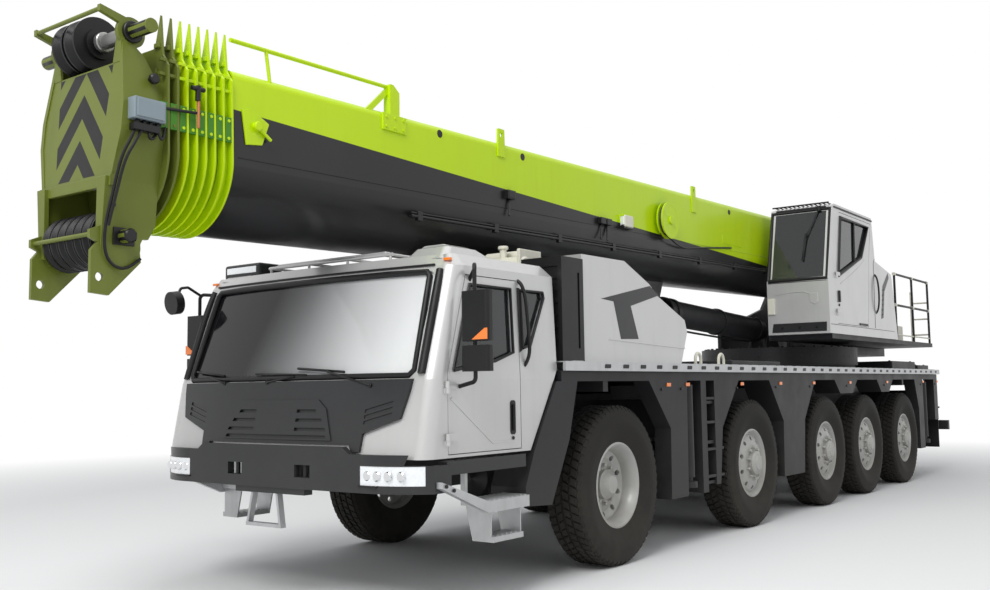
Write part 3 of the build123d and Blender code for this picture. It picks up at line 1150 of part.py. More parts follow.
def boom_head():
    """The boom's head: bent cheeks, front and back plates, guard bars, jib plates and the sheaves' shafts."""
    cheek = head_cheek()
    pieces = cheek + mirrored(cheek)
    front = side_plate([(-1768, 2850), (-1738, 2850), (-1678, 3605), (-1708, 3605)], -600, 600)
    pieces += front & head_web(2850, 3605)
    cut_y = collar_y(2 * SECTION_COUNT - 1) - COLLAR_T - SEAT_GAP
    back = boom_place(along_boom(boom_profile(0, -8), cut_y - 24, cut_y))
    pieces += back & head_web(2560, 3605)
    for side in (1, -1):
        low = min(side * JIB_PLATE_X, side * (JIB_PLATE_X + JIB_PLATE_T))
        pieces += side_plate(JIB_PLATE, low, low + JIB_PLATE_T)
        pieces += side_plate([(-1875, 2475), (-1875, 2525), (-1770, 2570), (-1770, 2430)], low,
                             low + JIB_PLATE_T)
    pieces += rod((-330, GUARD_Y, GUARD_Z), (330, GUARD_Y, GUARD_Z), GUARD_R)
    pieces += rod((-370, TOP_GUARD_Y, TOP_GUARD_Z), (370, TOP_GUARD_Y, TOP_GUARD_Z), GUARD_R)
    pieces -= rod((-600, JIB_PIN_Y, JIB_PIN_Z), (600, JIB_PIN_Y, JIB_PIN_Z), JIB_PIN_R)
    pieces += rod((-UPPER_PIN_X, UPPER_SHEAVE_Y, UPPER_SHEAVE_Z), (UPPER_PIN_X, UPPER_SHEAVE_Y,
                                                                   UPPER_SHEAVE_Z),
                  SHEAVE_SHAFT_R)
    pieces += rod((-LOWER_PIN_X, LOWER_SHEAVE_Y, LOWER_SHEAVE_Z), (LOWER_PIN_X, LOWER_SHEAVE_Y,
                                                                   LOWER_SHEAVE_Z),
                  SHEAVE_SHAFT_R)
    pieces += box(445, 530, -1705, -1480, 3225, 3350)
    return pieces - boom_place(along_boom(boom_profile(0, 400), cut_y, cut_y + 400))


def sheave_pack(place, radius, count, pitch):
    """Grooved sheaves side by side on one sleeve, along X, round a middle place."""
    x, y, z = place
    pack = rod((x - count * pitch / 2 - 8, y, z), (x + count * pitch / 2 + 8, y, z), radius * 0.55)
    groove = pitch * 0.42
    profile = [(-groove, 0), (-groove, radius), (-groove * 0.75, radius), (0, radius * 0.82),
               (groove * 0.75, radius),
               (groove, radius), (groove, 0)]
    wheel = revolve(make_face(Polyline(*profile, close=True)), Axis.X)
    for k in range(count):
        pack += Pos(x + (k - (count - 1) / 2) * pitch, y, z) * wheel
    return pack - rod((x - 600, y, z), (x + 600, y, z), SHEAVE_SHAFT_R + RUN_FIT)


def build_boom():
    """Boom base, telescopic sections, head and sheaves."""
    write_node("boom_base", boom_base())
    for index in range(1, SECTION_COUNT + 1):
        write_node(f"boom_section_{index}", boom_section(index))
    write_node("boom_head", boom_head())
    upper = (UPPER_SHEAVE_X, UPPER_SHEAVE_Y, UPPER_SHEAVE_Z)
    lower = (0.0, LOWER_SHEAVE_Y, LOWER_SHEAVE_Z)
    write_node("upper_sheaves", sheave_pack(upper, UPPER_SHEAVE_R, UPPER_SHEAVES, UPPER_PITCH))
    write_node("lower_sheaves", sheave_pack(lower, LOWER_SHEAVE_R, LOWER_SHEAVES, LOWER_PITCH))


def build_superstructure():
    """Turntable, operator's cab, winch and luffing cylinder."""
    write_node("turntable_frame", turntable_frame())
    write_node("winch_drum", winch_drum())
    write_node("operator_cab", operator_cab())
    write_node("operator_door", operator_door())
    write_node("operator_glass", operator_glass())
    write_node("lift_barrel", lift_barrel())
    write_node("lift_rod", lift_rod())


if __name__ == "__main__":
    os.makedirs("parts", exist_ok=True)
    build_chassis()
    build_cab()
    write_node("side_hoods", both_sides(side_hood()))
    write_node("intake_towers", both_sides(intake_tower()))
    build_wheels()
    build_superstructure()
    build_boom()
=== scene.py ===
"""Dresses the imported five-axle mobile crane: its finishes, its trim and its studio.

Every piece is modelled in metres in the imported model's own frame: the front faces -Y, +X is the crane's
left side and the ground lies at z = 0. A station is a distance along the crane from the bumper's datum.
"""

import logging
from dataclasses import dataclass
from enum import Enum
from math import cos, pi, radians, sin
from typing import Iterable, Sequence

import bpy
from mathutils import Matrix, Vector


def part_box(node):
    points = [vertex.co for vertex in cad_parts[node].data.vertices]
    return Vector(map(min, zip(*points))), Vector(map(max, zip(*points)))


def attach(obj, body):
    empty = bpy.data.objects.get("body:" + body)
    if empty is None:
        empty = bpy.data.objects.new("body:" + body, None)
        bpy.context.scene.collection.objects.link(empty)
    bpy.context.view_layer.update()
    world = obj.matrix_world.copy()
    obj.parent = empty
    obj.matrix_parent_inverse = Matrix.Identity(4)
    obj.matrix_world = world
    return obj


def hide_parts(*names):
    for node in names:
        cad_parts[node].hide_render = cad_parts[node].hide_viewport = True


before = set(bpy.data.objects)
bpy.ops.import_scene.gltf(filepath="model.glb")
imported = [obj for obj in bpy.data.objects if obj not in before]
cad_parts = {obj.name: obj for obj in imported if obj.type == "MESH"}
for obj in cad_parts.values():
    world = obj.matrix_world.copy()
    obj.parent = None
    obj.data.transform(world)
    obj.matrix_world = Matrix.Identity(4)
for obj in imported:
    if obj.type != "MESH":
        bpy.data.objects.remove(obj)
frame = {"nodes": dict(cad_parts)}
LOG = logging.getLogger("crane")
MIDDLE_STATION = 6.1675
SIDES = (("left", 1), ("right", -1))
SHARP_ANGLE = 40.0
MERGE_DISTANCE = 1e-5
COAT_ROUGHNESS = 0.08
BUMP_DISTANCE = 0.002
Pair = tuple[float, float]
Triple = tuple[float, float, float]
MeshObject = bpy.types.Object


def station(y: float) -> float:
    """Turns a station into the frame's Y."""
    return y - MIDDLE_STATION


def at(x: float, y: float, z: float) -> Triple:
    """A place in the frame, given by its station y."""
    return (x, station(y), z)


def side_view(points: Iterable[Pair]) -> list[Pair]:
    """An outline across X, from its points' stations and heights."""
    return [(station(y), z) for y, z in points]


def front_view(side: int, points: Iterable[Pair]) -> list[Pair]:
    """An outline across Y, from its points' distances out to one side and their heights."""
    return [(side * x, z) for x, z in points]


class Axis(Enum):
    """The direction in which a flat outline is drawn out."""

    X = (1.0, 0.0, 0.0)
    Y = (0.0, 1.0, 0.0)
    Z = (0.0, 0.0, 1.0)

    def place(self, a: float, b: float, along: float) -> Vector:
        """Puts an outline's point (a, b) at a distance along this axis.

        Args:
            a: the outline's first coordinate.
            b: its second coordinate.
            along: the distance along this axis.

        Returns:
            The point in the frame.
        """
        if self is Axis.X:
            return Vector((along, a, b))
        if self is Axis.Y:
            return Vector((a, along, b))
        return Vector((a, b, along))


# ------------------------------------------------------------------ modelling
def only(*objs: MeshObject) -> None:
    """Makes these objects the whole selection, with the first one active.

    Args:
        objs: the objects to select.
    """
    bpy.ops.object.select_all(action="DESELECT")
    for obj in objs:
        obj.select_set(True)
    if objs:
        bpy.context.view_layer.objects.active = objs[0]


def settle(obj: MeshObject) -> MeshObject:
    """Moves an object's place, turn and size into its mesh, so that it sits at the origin.

    Args:
        obj: the object.

    Returns:
        The same object.
    """
    only(obj)
    bpy.ops.object.transform_apply(location=True, rotation=True, scale=True)
    return obj


def apply_modifier(obj: MeshObject, kind: str, **settings: object) -> None:
    """Adds a modifier with these settings and applies it.

    Args:
        obj: the piece that is changed.
        kind: the modifier's type, such as "BEVEL".
        settings: the modifier's own values by name.
    """
    only(obj)
    modifier = obj.modifiers.new(kind.lower(), kind)
    for key, value in settings.items():
        setattr(modifier, key, value)
    bpy.ops.object.modifier_apply(modifier=modifier.name)


def round_edges(obj: MeshObject, width: float, segments: int = 2) -> MeshObject:
    """Rounds the sharp edges of a mesh.

    Args:
        obj: the piece.
        width: the rounding's width, 0 for none.
        segments: how many steps it has.

    Returns:
        The same piece.
    """
    if width > 0:
        apply_modifier(obj, "BEVEL", width=width, segments=segments, limit_method="ANGLE",
                       angle_limit=radians(SHARP_ANGLE))
    return obj


def outward(obj: MeshObject) -> MeshObject:
    """Merges doubled points and turns every face outwards.

    Args:
        obj: the piece.

    Returns:
        The same piece.
    """
    only(obj)
    bpy.ops.object.mode_set(mode="EDIT")
    bpy.ops.mesh.select_all(action="SELECT")
    bpy.ops.mesh.remove_doubles(threshold=MERGE_DISTANCE)
    bpy.ops.mesh.normals_make_consistent(inside=False)
    bpy.ops.object.mode_set(mode="OBJECT")
    return obj


def block(name: str, low: Triple, high: Triple, bevel: float = 0.004) -> MeshObject:
    """A bevelled box between two corners.

    Args:
        name: the piece's name.
        low: one corner.
        high: the corner opposite, in any order along each axis.
        bevel: the width of the rounded edges, 0 for sharp ones.

    Returns:
        The box as a mesh object.
    """
    bpy.ops.object.select_all(action="DESELECT")
    middle = [(a + b) / 2 for a, b in zip(low, high)]
    bpy.ops.mesh.primitive_cube_add(size=1, location=middle)
    obj = bpy.context.object
    obj.name = name
    obj.scale = [abs(b - a) for a, b in zip(low, high)]
    settle(obj)
    return round_edges(obj, bevel)


def slab(name: str, outline: Sequence[Pair], axis: Axis, low: float, high: float,
         bevel: float = 0.002) -> MeshObject:
    """A flat outline drawn out along an axis, with its edges rounded.

    Args:
        name: the piece's name.
        outline: the corners as pairs of the two other coordinates, in the axes' order.
        axis: the direction in which the outline is drawn out.
        low: where the outline starts along the axis.
        high: where it ends.
        bevel: the width of the rounded edges, 0 for sharp ones.

    Returns:
        The slab as a closed mesh object.
    """
    bpy.ops.object.select_all(action="DESELECT")
    bpy.ops.mesh.primitive_circle_add(vertices=len(outline), radius=1, fill_type="NGON")
    obj = bpy.context.object
    obj.name = name
    for vertex, (a, b) in zip(obj.data.vertices, outline):
        vertex.co = axis.place(a, b, low)
    bpy.ops.object.mode_set(mode="EDIT")
    bpy.ops.mesh.select_all(action="SELECT")
    drawn = Vector(axis.value) * (high - low)
    bpy.ops.mesh.extrude_region_move(TRANSFORM_OT_translate={"value": drawn})
    bpy.ops.object.mode_set(mode="OBJECT")
    return round_edges(outward(obj), bevel)


def bar(name: str, start: Triple, end: Triple, radius: float, sides: int = 16,
        bevel: float = 0.0) -> MeshObject:
    """A round bar between two points.

    Args:
        name: the piece's name.
        start: the middle of one end.
        end: the middle of the other end.
        radius: the bar's radius.
        sides: how many faces go round it.
        bevel: the width of its ends' rounded edges, or 0 for a small one by its radius.

    Returns:
        The bar as a mesh object.
    """
    bpy.ops.object.select_all(action="DESELECT")
    a, b = Vector(start), Vector(end)
    bpy.ops.mesh.primitive_cylinder_add(vertices=sides, radius=radius, depth=(b - a).length,
                                        location=(a + b) / 2)
    obj = bpy.context.object
    obj.name = name
    obj.rotation_mode = "QUATERNION"
    obj.rotation_quaternion = (b - a).to_track_quat("Z", "Y")
    settle(obj)
    round_edges(obj, bevel if bevel else min(0.0015, radius * 0.2), 1)
    return smooth(obj)


def cross_bar(name: str, start: float, end: float, y: float, z: float, radius: float,
              *shape: float) -> MeshObject:
    """A round bar along X, from start to end, at a station y and a height z.

    Args:
        name: the piece's name.
        start: the X of one end.
        end: the X of the other end.
        y: the station of the bar's middle line.
        z: the height of its middle line.
        radius: the bar's radius.
        shape: its sides and its bevel, as for bar.

    Returns:
        The bar as a mesh object.
    """
    return bar(name, at(start, y, z), at(end, y, z), radius, *shape)


def pipe(name: str, points: Sequence[Triple], radius: float, sides: int = 2,
         curved: bool = True) -> MeshObject:
    """A bent pipe or hose through these points.

    Args:
        name: the piece's name.
        points: the path's points, from one end to the other.
        radius: the pipe's radius.
        sides: how finely its round is cut.
        curved: True for a smooth path, False for straight runs between the points.

    Returns:
        The pipe as a mesh object with both ends closed.
    """
    bpy.ops.object.select_all(action="DESELECT")
    curve = bpy.data.curves.new(name, "CURVE")
    curve.dimensions = "3D"
    curve.bevel_depth = radius
    curve.bevel_resolution = sides
    curve.resolution_u = 6
    curve.use_fill_caps = True
    spline = curve.splines.new("NURBS" if curved else "POLY")
    spline.points.add(len(points) - 1)
    for knot, point in zip(spline.points, points):
        knot.co = (*point, 1.0)
    if curved:
        spline.order_u = min(3, len(points))
        spline.use_endpoint_u = True
    obj = bpy.data.objects.new(name, curve)
    bpy.context.scene.collection.objects.link(obj)
    only(obj)
    bpy.ops.object.convert(target="MESH")
    return smooth(bpy.context.object)


def lathe(name: str, profile: Sequence[Pair], axis: Axis, centre: Vector, steps: int) -> MeshObject:
    """Spins a closed profile round an axis.

    Args:
        name: the piece's name.
        profile: the corners as pairs of radius and height along the axis from the centre.
        axis: the direction of the axis.
        centre: the point that the axis runs through.
        steps: how many steps a whole turn takes.

    Returns:
        The turned piece as a mesh object.
    """
    bpy.ops.object.select_all(action="DESELECT")
    bpy.ops.mesh.primitive_circle_add(vertices=len(profile), radius=1, fill_type="NOTHING")
    obj = bpy.context.object
    obj.name = name
    along = Vector(axis.value)
    out = Vector((0, 0, 1)) if axis is not Axis.Z else Vector((1, 0, 0))
    for vertex, (radius, height) in zip(obj.data.vertices, profile):
        vertex.co = centre + along * height + out * radius
    bpy.ops.object.mode_set(mode="EDIT")
    bpy.ops.mesh.select_all(action="SELECT")
    bpy.ops.mesh.spin(steps=steps, angle=2 * pi, center=centre, axis=along)
    bpy.ops.object.mode_set(mode="OBJECT")
    return smooth(outward(obj))


def ring_of(obj: MeshObject, count: int, axis: Axis, centre: Vector) -> MeshObject:
    """Repeats a mesh round an axis.

    Args:
        obj: the mesh at its first place.
        count: how many there are in all.
        axis: the direction of the axis.
        centre: the point that the axis runs through.

    Returns:
        The same object, with all of the repeats in it.
    """
    only(obj)
    bpy.ops.object.mode_set(mode="EDIT")
    bpy.ops.mesh.select_all(action="SELECT")
    turn = 2 * pi * (count - 1) / count
    bpy.ops.mesh.spin(steps=count - 1, angle=turn, center=centre, axis=Vector(axis.value), dupli=True)
    bpy.ops.object.mode_set(mode="OBJECT")
    return obj


def smooth(obj: MeshObject, degrees: float = SHARP_ANGLE) -> MeshObject:
    """Shades a mesh smooth, apart from its edges that are sharper than this.

    Args:
        obj: the piece.
        degrees: the angle from which an edge stays sharp.

    Returns:
        The same piece.
    """
    only(obj)
    bpy.ops.object.shade_smooth_by_angle(angle=radians(degrees))
    return obj


def copy_moved(obj: MeshObject, shift: Triple) -> MeshObject:
    """A copy of a piece with its own mesh, moved by shift.

    Args:
        obj: the piece to copy.
        shift: how far the copy stands from it.

    Returns:
        The copy.
    """
    only(obj)
    bpy.ops.object.duplicate(linked=False)
    twin = bpy.context.object
    twin.location = shift
    return settle(twin)


def row_of(obj: MeshObject, shifts: Iterable[Triple]) -> MeshObject:
    """The piece and its copies at these shifts, joined."""
    return join(obj.name, [obj] + [copy_moved(obj, shift) for shift in shifts])


def join(name: str, objs: Sequence[MeshObject]) -> MeshObject:
    """Joins pieces into one mesh object.

    Args:
        name: the joined piece's name.
        objs: the pieces, one or more.

    Returns:
        The joined piece.
    """
    only(*objs)
    if len(objs) > 1:
        bpy.ops.object.join()
    obj = bpy.context.object
    obj.name = name
    return obj


def cut(obj: MeshObject, tool: MeshObject) -> MeshObject:
    """Cuts a tool's shape out of a piece and throws the tool away.

    Args:
        obj: the piece.
        tool: the shape to take away.

    Returns:
        The same piece.
    """
    apply_modifier(obj, "BOOLEAN", operation="DIFFERENCE", object=tool, solver="EXACT")
    bpy.data.objects.remove(tool)
    return obj


# ------------------------------------------------------------------ finishes
def add_group(name: str, sockets: Sequence[tuple[str, str, str, object]]) -> bpy.types.NodeTree:
    """Starts a shader node group.

    Args:
        name: the group's name.
        sockets: rows of socket name, "INPUT" or "OUTPUT", socket type and default.

    Returns:
        The group with its sockets and no nodes but its two ends.
    """
    tree = bpy.data.node_groups.new(name, "ShaderNodeTree")
    for title, side, kind, default in sockets:
        socket = tree.interface.new_socket(title, in_out=side, socket_type=kind)
        if default is not None:
            socket.default_value = default
    tree.nodes.new("NodeGroupInput")
    tree.nodes.new("NodeGroupOutput")
    return tree


class Wiring:
    """Short calls for adding nodes to one tree and joining them."""

    def __init__(self, tree: bpy.types.NodeTree) -> None:
        """Keeps the tree that the nodes go into."""
        self.tree = tree

    def add(self, kind: str, **settings: object) -> bpy.types.Node:
        """Adds a node and sets its plain settings.

        Args:
            kind: the node's type.
            settings: its plain settings by name.

        Returns:
            The node.
        """
        node = self.tree.nodes.new(kind)
        for key, value in settings.items():
            setattr(node, key, value)
        return node

    def put(self, source: object, socket: bpy.types.NodeSocket) -> None:
        """Joins an output to an input, or sets the input's value.

        Args:
            source: an output socket or a value.
            socket: the input that takes it.
        """
        if isinstance(source, bpy.types.NodeSocket):
            self.tree.links.new(source, socket)
        else:
            socket.default_value = source

    def math(self, operation: str, a: object, b: object = 0.0, c: object = 0.0,
             clamp: bool = False) -> object:
        """A Math node on up to three values.

        Args:
            operation: what the node works out.
            a: the first value.
            b: the second value.
            c: the third value.
            clamp: True to hold the result between 0 and 1.

        Returns:
            The node's output.
        """
        node = self.add("ShaderNodeMath", operation=operation, use_clamp=clamp)
        for socket, value in zip(node.inputs, (a, b, c)):
            self.put(value, socket)
        return node.outputs[0]

    def fade(self, value: object, start: float, end: float) -> object:
        """0 at start, 1 at end, held outside them.

        Args:
            value: the value that is followed.
            start: where the result is 0.
            end: where the result is 1.

        Returns:
            The node's output.
        """
        node = self.add("ShaderNodeMapRange", clamp=True)
        for title, number in (("Value", value), ("From Min", start), ("From Max", end)):
            self.put(number, node.inputs[title])
        return node.outputs["Result"]

    def noise(self, vector: object, scale: object, detail: float = 3.0, rough: float = 0.55) -> object:
        """A noise value between 0 and 1.

        Args:
            vector: the place.
            scale: the noise's scale.
            detail: its levels of detail.
            rough: how rough they are.

        Returns:
            The node's output.
        """
        node = self.add("ShaderNodeTexNoise")
        for title, value in (("Vector", vector), ("Scale", scale), ("Detail", detail), ("Roughness", rough)):
            self.put(value, node.inputs[title])
        return node.outputs["Fac"]

    def blend(self, factor: object, a: object, b: object, mode: str = "MIX") -> object:
        """A colour mix of a and b.

        Args:
            factor: the share of b.
            a: the first colour.
            b: the second colour.
            mode: the blend's mode.

        Returns:
            The mixed colour's output.
        """
        node = self.add("ShaderNodeMix", data_type="RGBA", blend_type=mode)
        for index, value in ((0, factor), (6, a), (7, b)):
            self.put(value, node.inputs[index])
        return node.outputs[2]

    def xyz(self, vector: object) -> tuple[object, object, object]:
        """The three parts of a vector.

        Args:
            vector: the vector.

        Returns:
            The outputs for X, Y and Z.
        """
        node = self.add("ShaderNodeSeparateXYZ")
        self.put(vector, node.inputs[0])
        return node.outputs[0], node.outputs[1], node.outputs[2]


def weather_group() -> bpy.types.NodeTree:
    """The shared group that gives a surface its grain, its vertical streaks and its road dust."""
    name = "weathered_surface"
    if name in bpy.data.node_groups:
        return bpy.data.node_groups[name]
    tree = add_group(name, (
        ("Vector", "INPUT", "NodeSocketVector", None),
        ("Colour", "INPUT", "NodeSocketColor", (0.5, 0.5, 0.5, 1)),
        ("Roughness", "INPUT", "NodeSocketFloat", 0.5),
        ("Grain", "INPUT", "NodeSocketFloat", 0.1),
        ("Grain Scale", "INPUT", "NodeSocketFloat", 6.0),
        ("Streaks", "INPUT", "NodeSocketFloat", 0.1),
        ("Dust", "INPUT", "NodeSocketFloat", 0.3),
        ("Dust Top", "INPUT", "NodeSocketFloat", 1.4),
        ("Dust Colour", "INPUT", "NodeSocketColor", (0.30, 0.27, 0.22, 1)),
        ("Relief Scale", "INPUT", "NodeSocketFloat", 120.0),
        ("Colour", "OUTPUT", "NodeSocketColor", None),
        ("Roughness", "OUTPUT", "NodeSocketFloat", None),
        ("Height", "OUTPUT", "NodeSocketFloat", None),
    ))
    w = Wiring(tree)
    into = tree.nodes["Group Input"].outputs
    out = tree.nodes["Group Output"].inputs
    grain = w.noise(into["Vector"], into["Grain Scale"], 5.0)
    shade = w.math("MULTIPLY_ADD", w.math("SUBTRACT", grain, 0.5), into["Grain"], 1.0)
    stretch = w.add("ShaderNodeMapping")
    stretch.inputs["Scale"].default_value = (9.0, 9.0, 0.7)
    w.put(into["Vector"], stretch.inputs["Vector"])
    streak = w.fade(w.noise(stretch.outputs[0], 1.0, 4.0), 0.52, 0.78)
    darker = w.math("SUBTRACT", 1.0, w.math("MULTIPLY", streak, into["Streaks"]))
    tone = w.math("MULTIPLY", shade, darker)
    grey = w.add("ShaderNodeCombineColor")
    for socket in grey.inputs:
        w.put(tone, socket)
    toned = w.blend(1.0, into["Colour"], grey.outputs[0], "MULTIPLY")
    height = w.xyz(into["Vector"])[2]
    low = w.math("SUBTRACT", 1.0, w.math("DIVIDE", height, into["Dust Top"]), clamp=True)
    patchy = w.fade(w.noise(into["Vector"], 3.2, 6.0, 0.65), 0.32, 0.72)
    splash = w.math("MULTIPLY", w.math("POWER", low, 0.8), w.math("MULTIPLY_ADD", patchy, 0.75, 0.25))
    dust = w.math("MULTIPLY", splash, into["Dust"], clamp=True)
    w.put(w.blend(dust, toned, into["Dust Colour"]), out["Colour"])
    rough = w.math("MULTIPLY_ADD", w.math("SUBTRACT", patchy, 0.5), 0.12, into["Roughness"])
    w.put(w.math("MULTIPLY_ADD", dust, 0.4, rough, clamp=True), out["Roughness"])
    w.put(w.noise(into["Vector"], into["Relief Scale"], 2.0), out["Height"])
    return tree


@dataclass(frozen=True)
class Finish:
    """One finish: a base colour under grain, streaks and road dust."""

    name: str
    colour: Triple
    rough: float = 0.5
    metallic: float = 0.0
    coat: float = 0.0
    grain: float = 0.12
    grain_scale: float = 5.0
    streaks: float = 0.06
    dust: float = 0.25
    dust_top: float = 1.5
    relief: float = 0.15
    relief_scale: float = 140.0
    transmission: float = 0.0
    glow: float = 0.0
    specular: float = 0.5
    ior: float = 1.45

    def pattern(self, w: Wiring, vector: object) -> object:
        """The colour before wear: plain here, drawn by the finishes that have stripes."""
        return (*self.colour, 1.0)

    def material(self) -> bpy.types.Material:
        """The finish as a material, made at its first use."""
        title = f"finish_{self.name}"
        if title in bpy.data.materials:
            return bpy.data.materials[title]
        made = bpy.data.materials.new(title)
        made.use_nodes = True
        w = Wiring(made.node_tree)
        shader = made.node_tree.nodes["Principled BSDF"]
        place = w.add("ShaderNodeTexCoord").outputs["Object"]
        worn = w.add("ShaderNodeGroup", node_tree=weather_group())
        for title, value in (("Vector", place), ("Colour", self.pattern(w, place)),
                             ("Roughness", self.rough), ("Grain", self.grain),
                             ("Grain Scale", self.grain_scale), ("Streaks", self.streaks),
                             ("Dust", self.dust), ("Dust Top", self.dust_top),
                             ("Relief Scale", self.relief_scale)):
            w.put(value, worn.inputs[title])
        w.put(worn.outputs["Colour"], shader.inputs["Base Color"])
        w.put(worn.outputs["Roughness"], shader.inputs["Roughness"])
        shader.inputs["Metallic"].default_value = self.metallic
        shader.inputs["Coat Weight"].default_value = self.coat
        shader.inputs["Coat Roughness"].default_value = COAT_ROUGHNESS
        shader.inputs["Transmission Weight"].default_value = self.transmission
        shader.inputs["Specular IOR Level"].default_value = self.specular
        shader.inputs["IOR"].default_value = self.ior
        if self.glow > 0:
            shader.inputs["Emission Color"].default_value = (*self.colour, 1.0)
            shader.inputs["Emission Strength"].default_value = self.glow
        if self.relief > 0:
            bump = w.add("ShaderNodeBump")
            bump.inputs["Strength"].default_value = self.relief
            bump.inputs["Distance"].default_value = BUMP_DISTANCE
            w.put(worn.outputs["Height"], bump.inputs["Height"])
            w.put(bump.outputs["Normal"], shader.inputs["Normal"])
        return made


@dataclass(frozen=True)
class BoomPaint(Finish):
    """Lime over charcoal, parted by a straight line that falls towards the rear of the base section."""

    lower: Triple = (0.013, 0.013, 0.014)
    front_station: float = -0.85
    front_height: float = 3.446
    rear_station: float = 8.6
    rear_height: float = 3.182

    def pattern(self, w: Wiring, vector: object) -> object:
        """Lime above the parting line, charcoal below it.

        Args:
            w: the wiring of the material's tree.
            vector: the place on the crane.

        Returns:
            The colour's output.
        """
        _, y, z = w.xyz(vector)
        slope = (self.rear_height - self.front_height) / (self.rear_station - self.front_station)
        start = self.front_height - slope * station(self.front_station)
        above = w.math("SUBTRACT", z, w.math("MULTIPLY_ADD", y, slope, start))
        return w.blend(w.fade(above, -0.0015, 0.0015), (*self.lower, 1.0), (*self.colour, 1.0))


@dataclass(frozen=True)
class ChevronPaint(Finish):
    """Olive, with black chevrons that point up on the head's front plate."""

    stroke: Triple = (0.004, 0.004, 0.004)
    low: float = 2.887
    high: float = 3.595
    half_width: float = 0.24
    widening: float = 0.085
    steepness: float = 1.23
    pitch: float = 0.304
    first: float = 3.29
    share: float = 0.526
    behind: float = -1.66

    def pattern(self, w: Wiring, vector: object) -> object:
        """Chevrons inside a tall frame on the faces that look forwards.

        Args:
            w: the wiring of the material's tree.
            vector: the place on the crane.

        Returns:
            The colour's output.
        """
        x, y, z = w.xyz(vector)
        side = w.math("ABSOLUTE", x)
        rise = w.math("SUBTRACT", w.math("MULTIPLY_ADD", side, self.steepness, z), self.first)
        band = w.math("LESS_THAN", w.math("FLOORED_MODULO", rise, self.pitch), self.pitch * self.share)
        room = w.math("MULTIPLY_ADD", w.math("SUBTRACT", z, self.low), self.widening, self.half_width)
        inside = w.math("LESS_THAN", side, room)
        tall = w.math("MULTIPLY", w.math("GREATER_THAN", z, self.low), w.math("LESS_THAN", z, self.high))
        front = w.math("LESS_THAN", y, station(self.behind))
        facing = w.xyz(w.add("ShaderNodeNewGeometry").outputs["True Normal"])[1]
        ahead = w.math("MULTIPLY", front, w.math("LESS_THAN", facing, -0.8))
        mask = w.math("MULTIPLY", w.math("MULTIPLY", band, inside), w.math("MULTIPLY", tall, ahead))
        return w.blend(mask, (*self.colour, 1.0), (*self.stroke, 1.0))


@dataclass(frozen=True)
class ScreenGlass(Finish):
    """Windscreen glass: dark over the right half of the cab, with a painted reflection of pale sky that grows
    towards its left end.
    """

    sky_reflection_colour: Triple = (0.93, 0.94, 0.95)
    reflection_starts: float = -0.45
    reflection_full: float = 1.15

    def pattern(self, w: Wiring, vector: object) -> object:
        """A painted reflection of pale sky: a pale field that grows towards the left end and the screen's
        foot.

        Args:
            w: the wiring of the material's tree.
            vector: the place on the crane.

        Returns:
            The colour's output.
        """
        x, _, z = w.xyz(vector)
        lean = w.math("MULTIPLY_ADD", w.math("SUBTRACT", z, 2.0), -0.30, x)
        # painted reflection: the pale sky's colour is blended into the glass's colour towards the left end
        pale = w.fade(lean, self.reflection_starts, self.reflection_full)
        return w.blend(pale, (*self.colour, 1.0), (*self.sky_reflection_colour, 1.0))


LIME_COLOUR = (0.50, 0.71, 0.002)
SILVER = Finish("silver_paint", (0.54, 0.54, 0.535), rough=0.34, metallic=0.35, coat=0.6, grain=0.05,
                grain_scale=3.0, streaks=0.05, dust=0.22, dust_top=1.7, relief=0.05, relief_scale=300.0)
CHARCOAL = Finish("charcoal_paint", (0.022, 0.023, 0.025), rough=0.36, coat=0.1, grain=0.15,
                  grain_scale=4.0, streaks=0.08, dust=0.08, dust_top=1.6, relief=0.08, specular=0.35)
CHASSIS = Finish("chassis_paint", (0.018, 0.018, 0.020), rough=0.48, grain=0.2, grain_scale=4.0,
                 streaks=0.1, dust=0.12, relief=0.12, specular=0.3)
BOOM = BoomPaint("boom_paint", LIME_COLOUR, rough=0.34, coat=0.12, grain=0.05, grain_scale=3.0,
                 streaks=0.04, dust=0.0, dust_top=1.0, relief=0.04, relief_scale=200.0, specular=0.3)
LIME = Finish("lime_paint", LIME_COLOUR, rough=0.36, coat=0.12, grain=0.08, grain_scale=6.0, dust=0.0,
              dust_top=1.0, relief=0.06, specular=0.3)
OLIVE = ChevronPaint("olive_paint", (0.135, 0.165, 0.024), rough=0.42, coat=0.1, grain_scale=6.0,
                     streaks=0.08, dust=0.0, dust_top=1.0, relief=0.08, specular=0.3)
STEEL = Finish("black_steel", (0.013, 0.013, 0.014), rough=0.35, metallic=0.2, grain=0.25, grain_scale=12.0,
               streaks=0.1, dust=0.05, specular=0.4)
PLASTIC = Finish("black_plastic", (0.009, 0.009, 0.010), rough=0.42, grain=0.2, grain_scale=10.0,
                 streaks=0.04, dust=0.05, dust_top=1.2, relief=0.3, relief_scale=260.0, specular=0.35)
RUBBER = Finish("tyre_rubber", (0.013, 0.0125, 0.012), rough=0.78, grain=0.3, grain_scale=14.0, streaks=0.0,
                dust=0.14, relief=0.4, relief_scale=90.0, specular=0.25)
WHEEL = Finish("wheel_paint", (0.42, 0.42, 0.405), rough=0.45, metallic=0.25, coat=0.1, grain=0.22,
               grain_scale=9.0, streaks=0.12, dust=0.45, relief=0.2)
ALLOY = Finish("deck_alloy", (0.50, 0.51, 0.52), rough=0.42, metallic=0.7, grain=0.2, grain_scale=10.0,
               streaks=0.12, dust=0.2, dust_top=2.2, relief=0.25)
CHROME = Finish("chrome_rod", (0.72, 0.73, 0.74), rough=0.12, metallic=1.0, grain=0.05, grain_scale=6.0,
                streaks=0.0, dust=0.0, dust_top=1.0, relief=0.0)
SHAFT = Finish("bare_shaft", (0.33, 0.33, 0.32), rough=0.35, metallic=0.8, grain=0.2, grain_scale=12.0,
               streaks=0.0, dust=0.0, dust_top=1.0, relief=0.1)
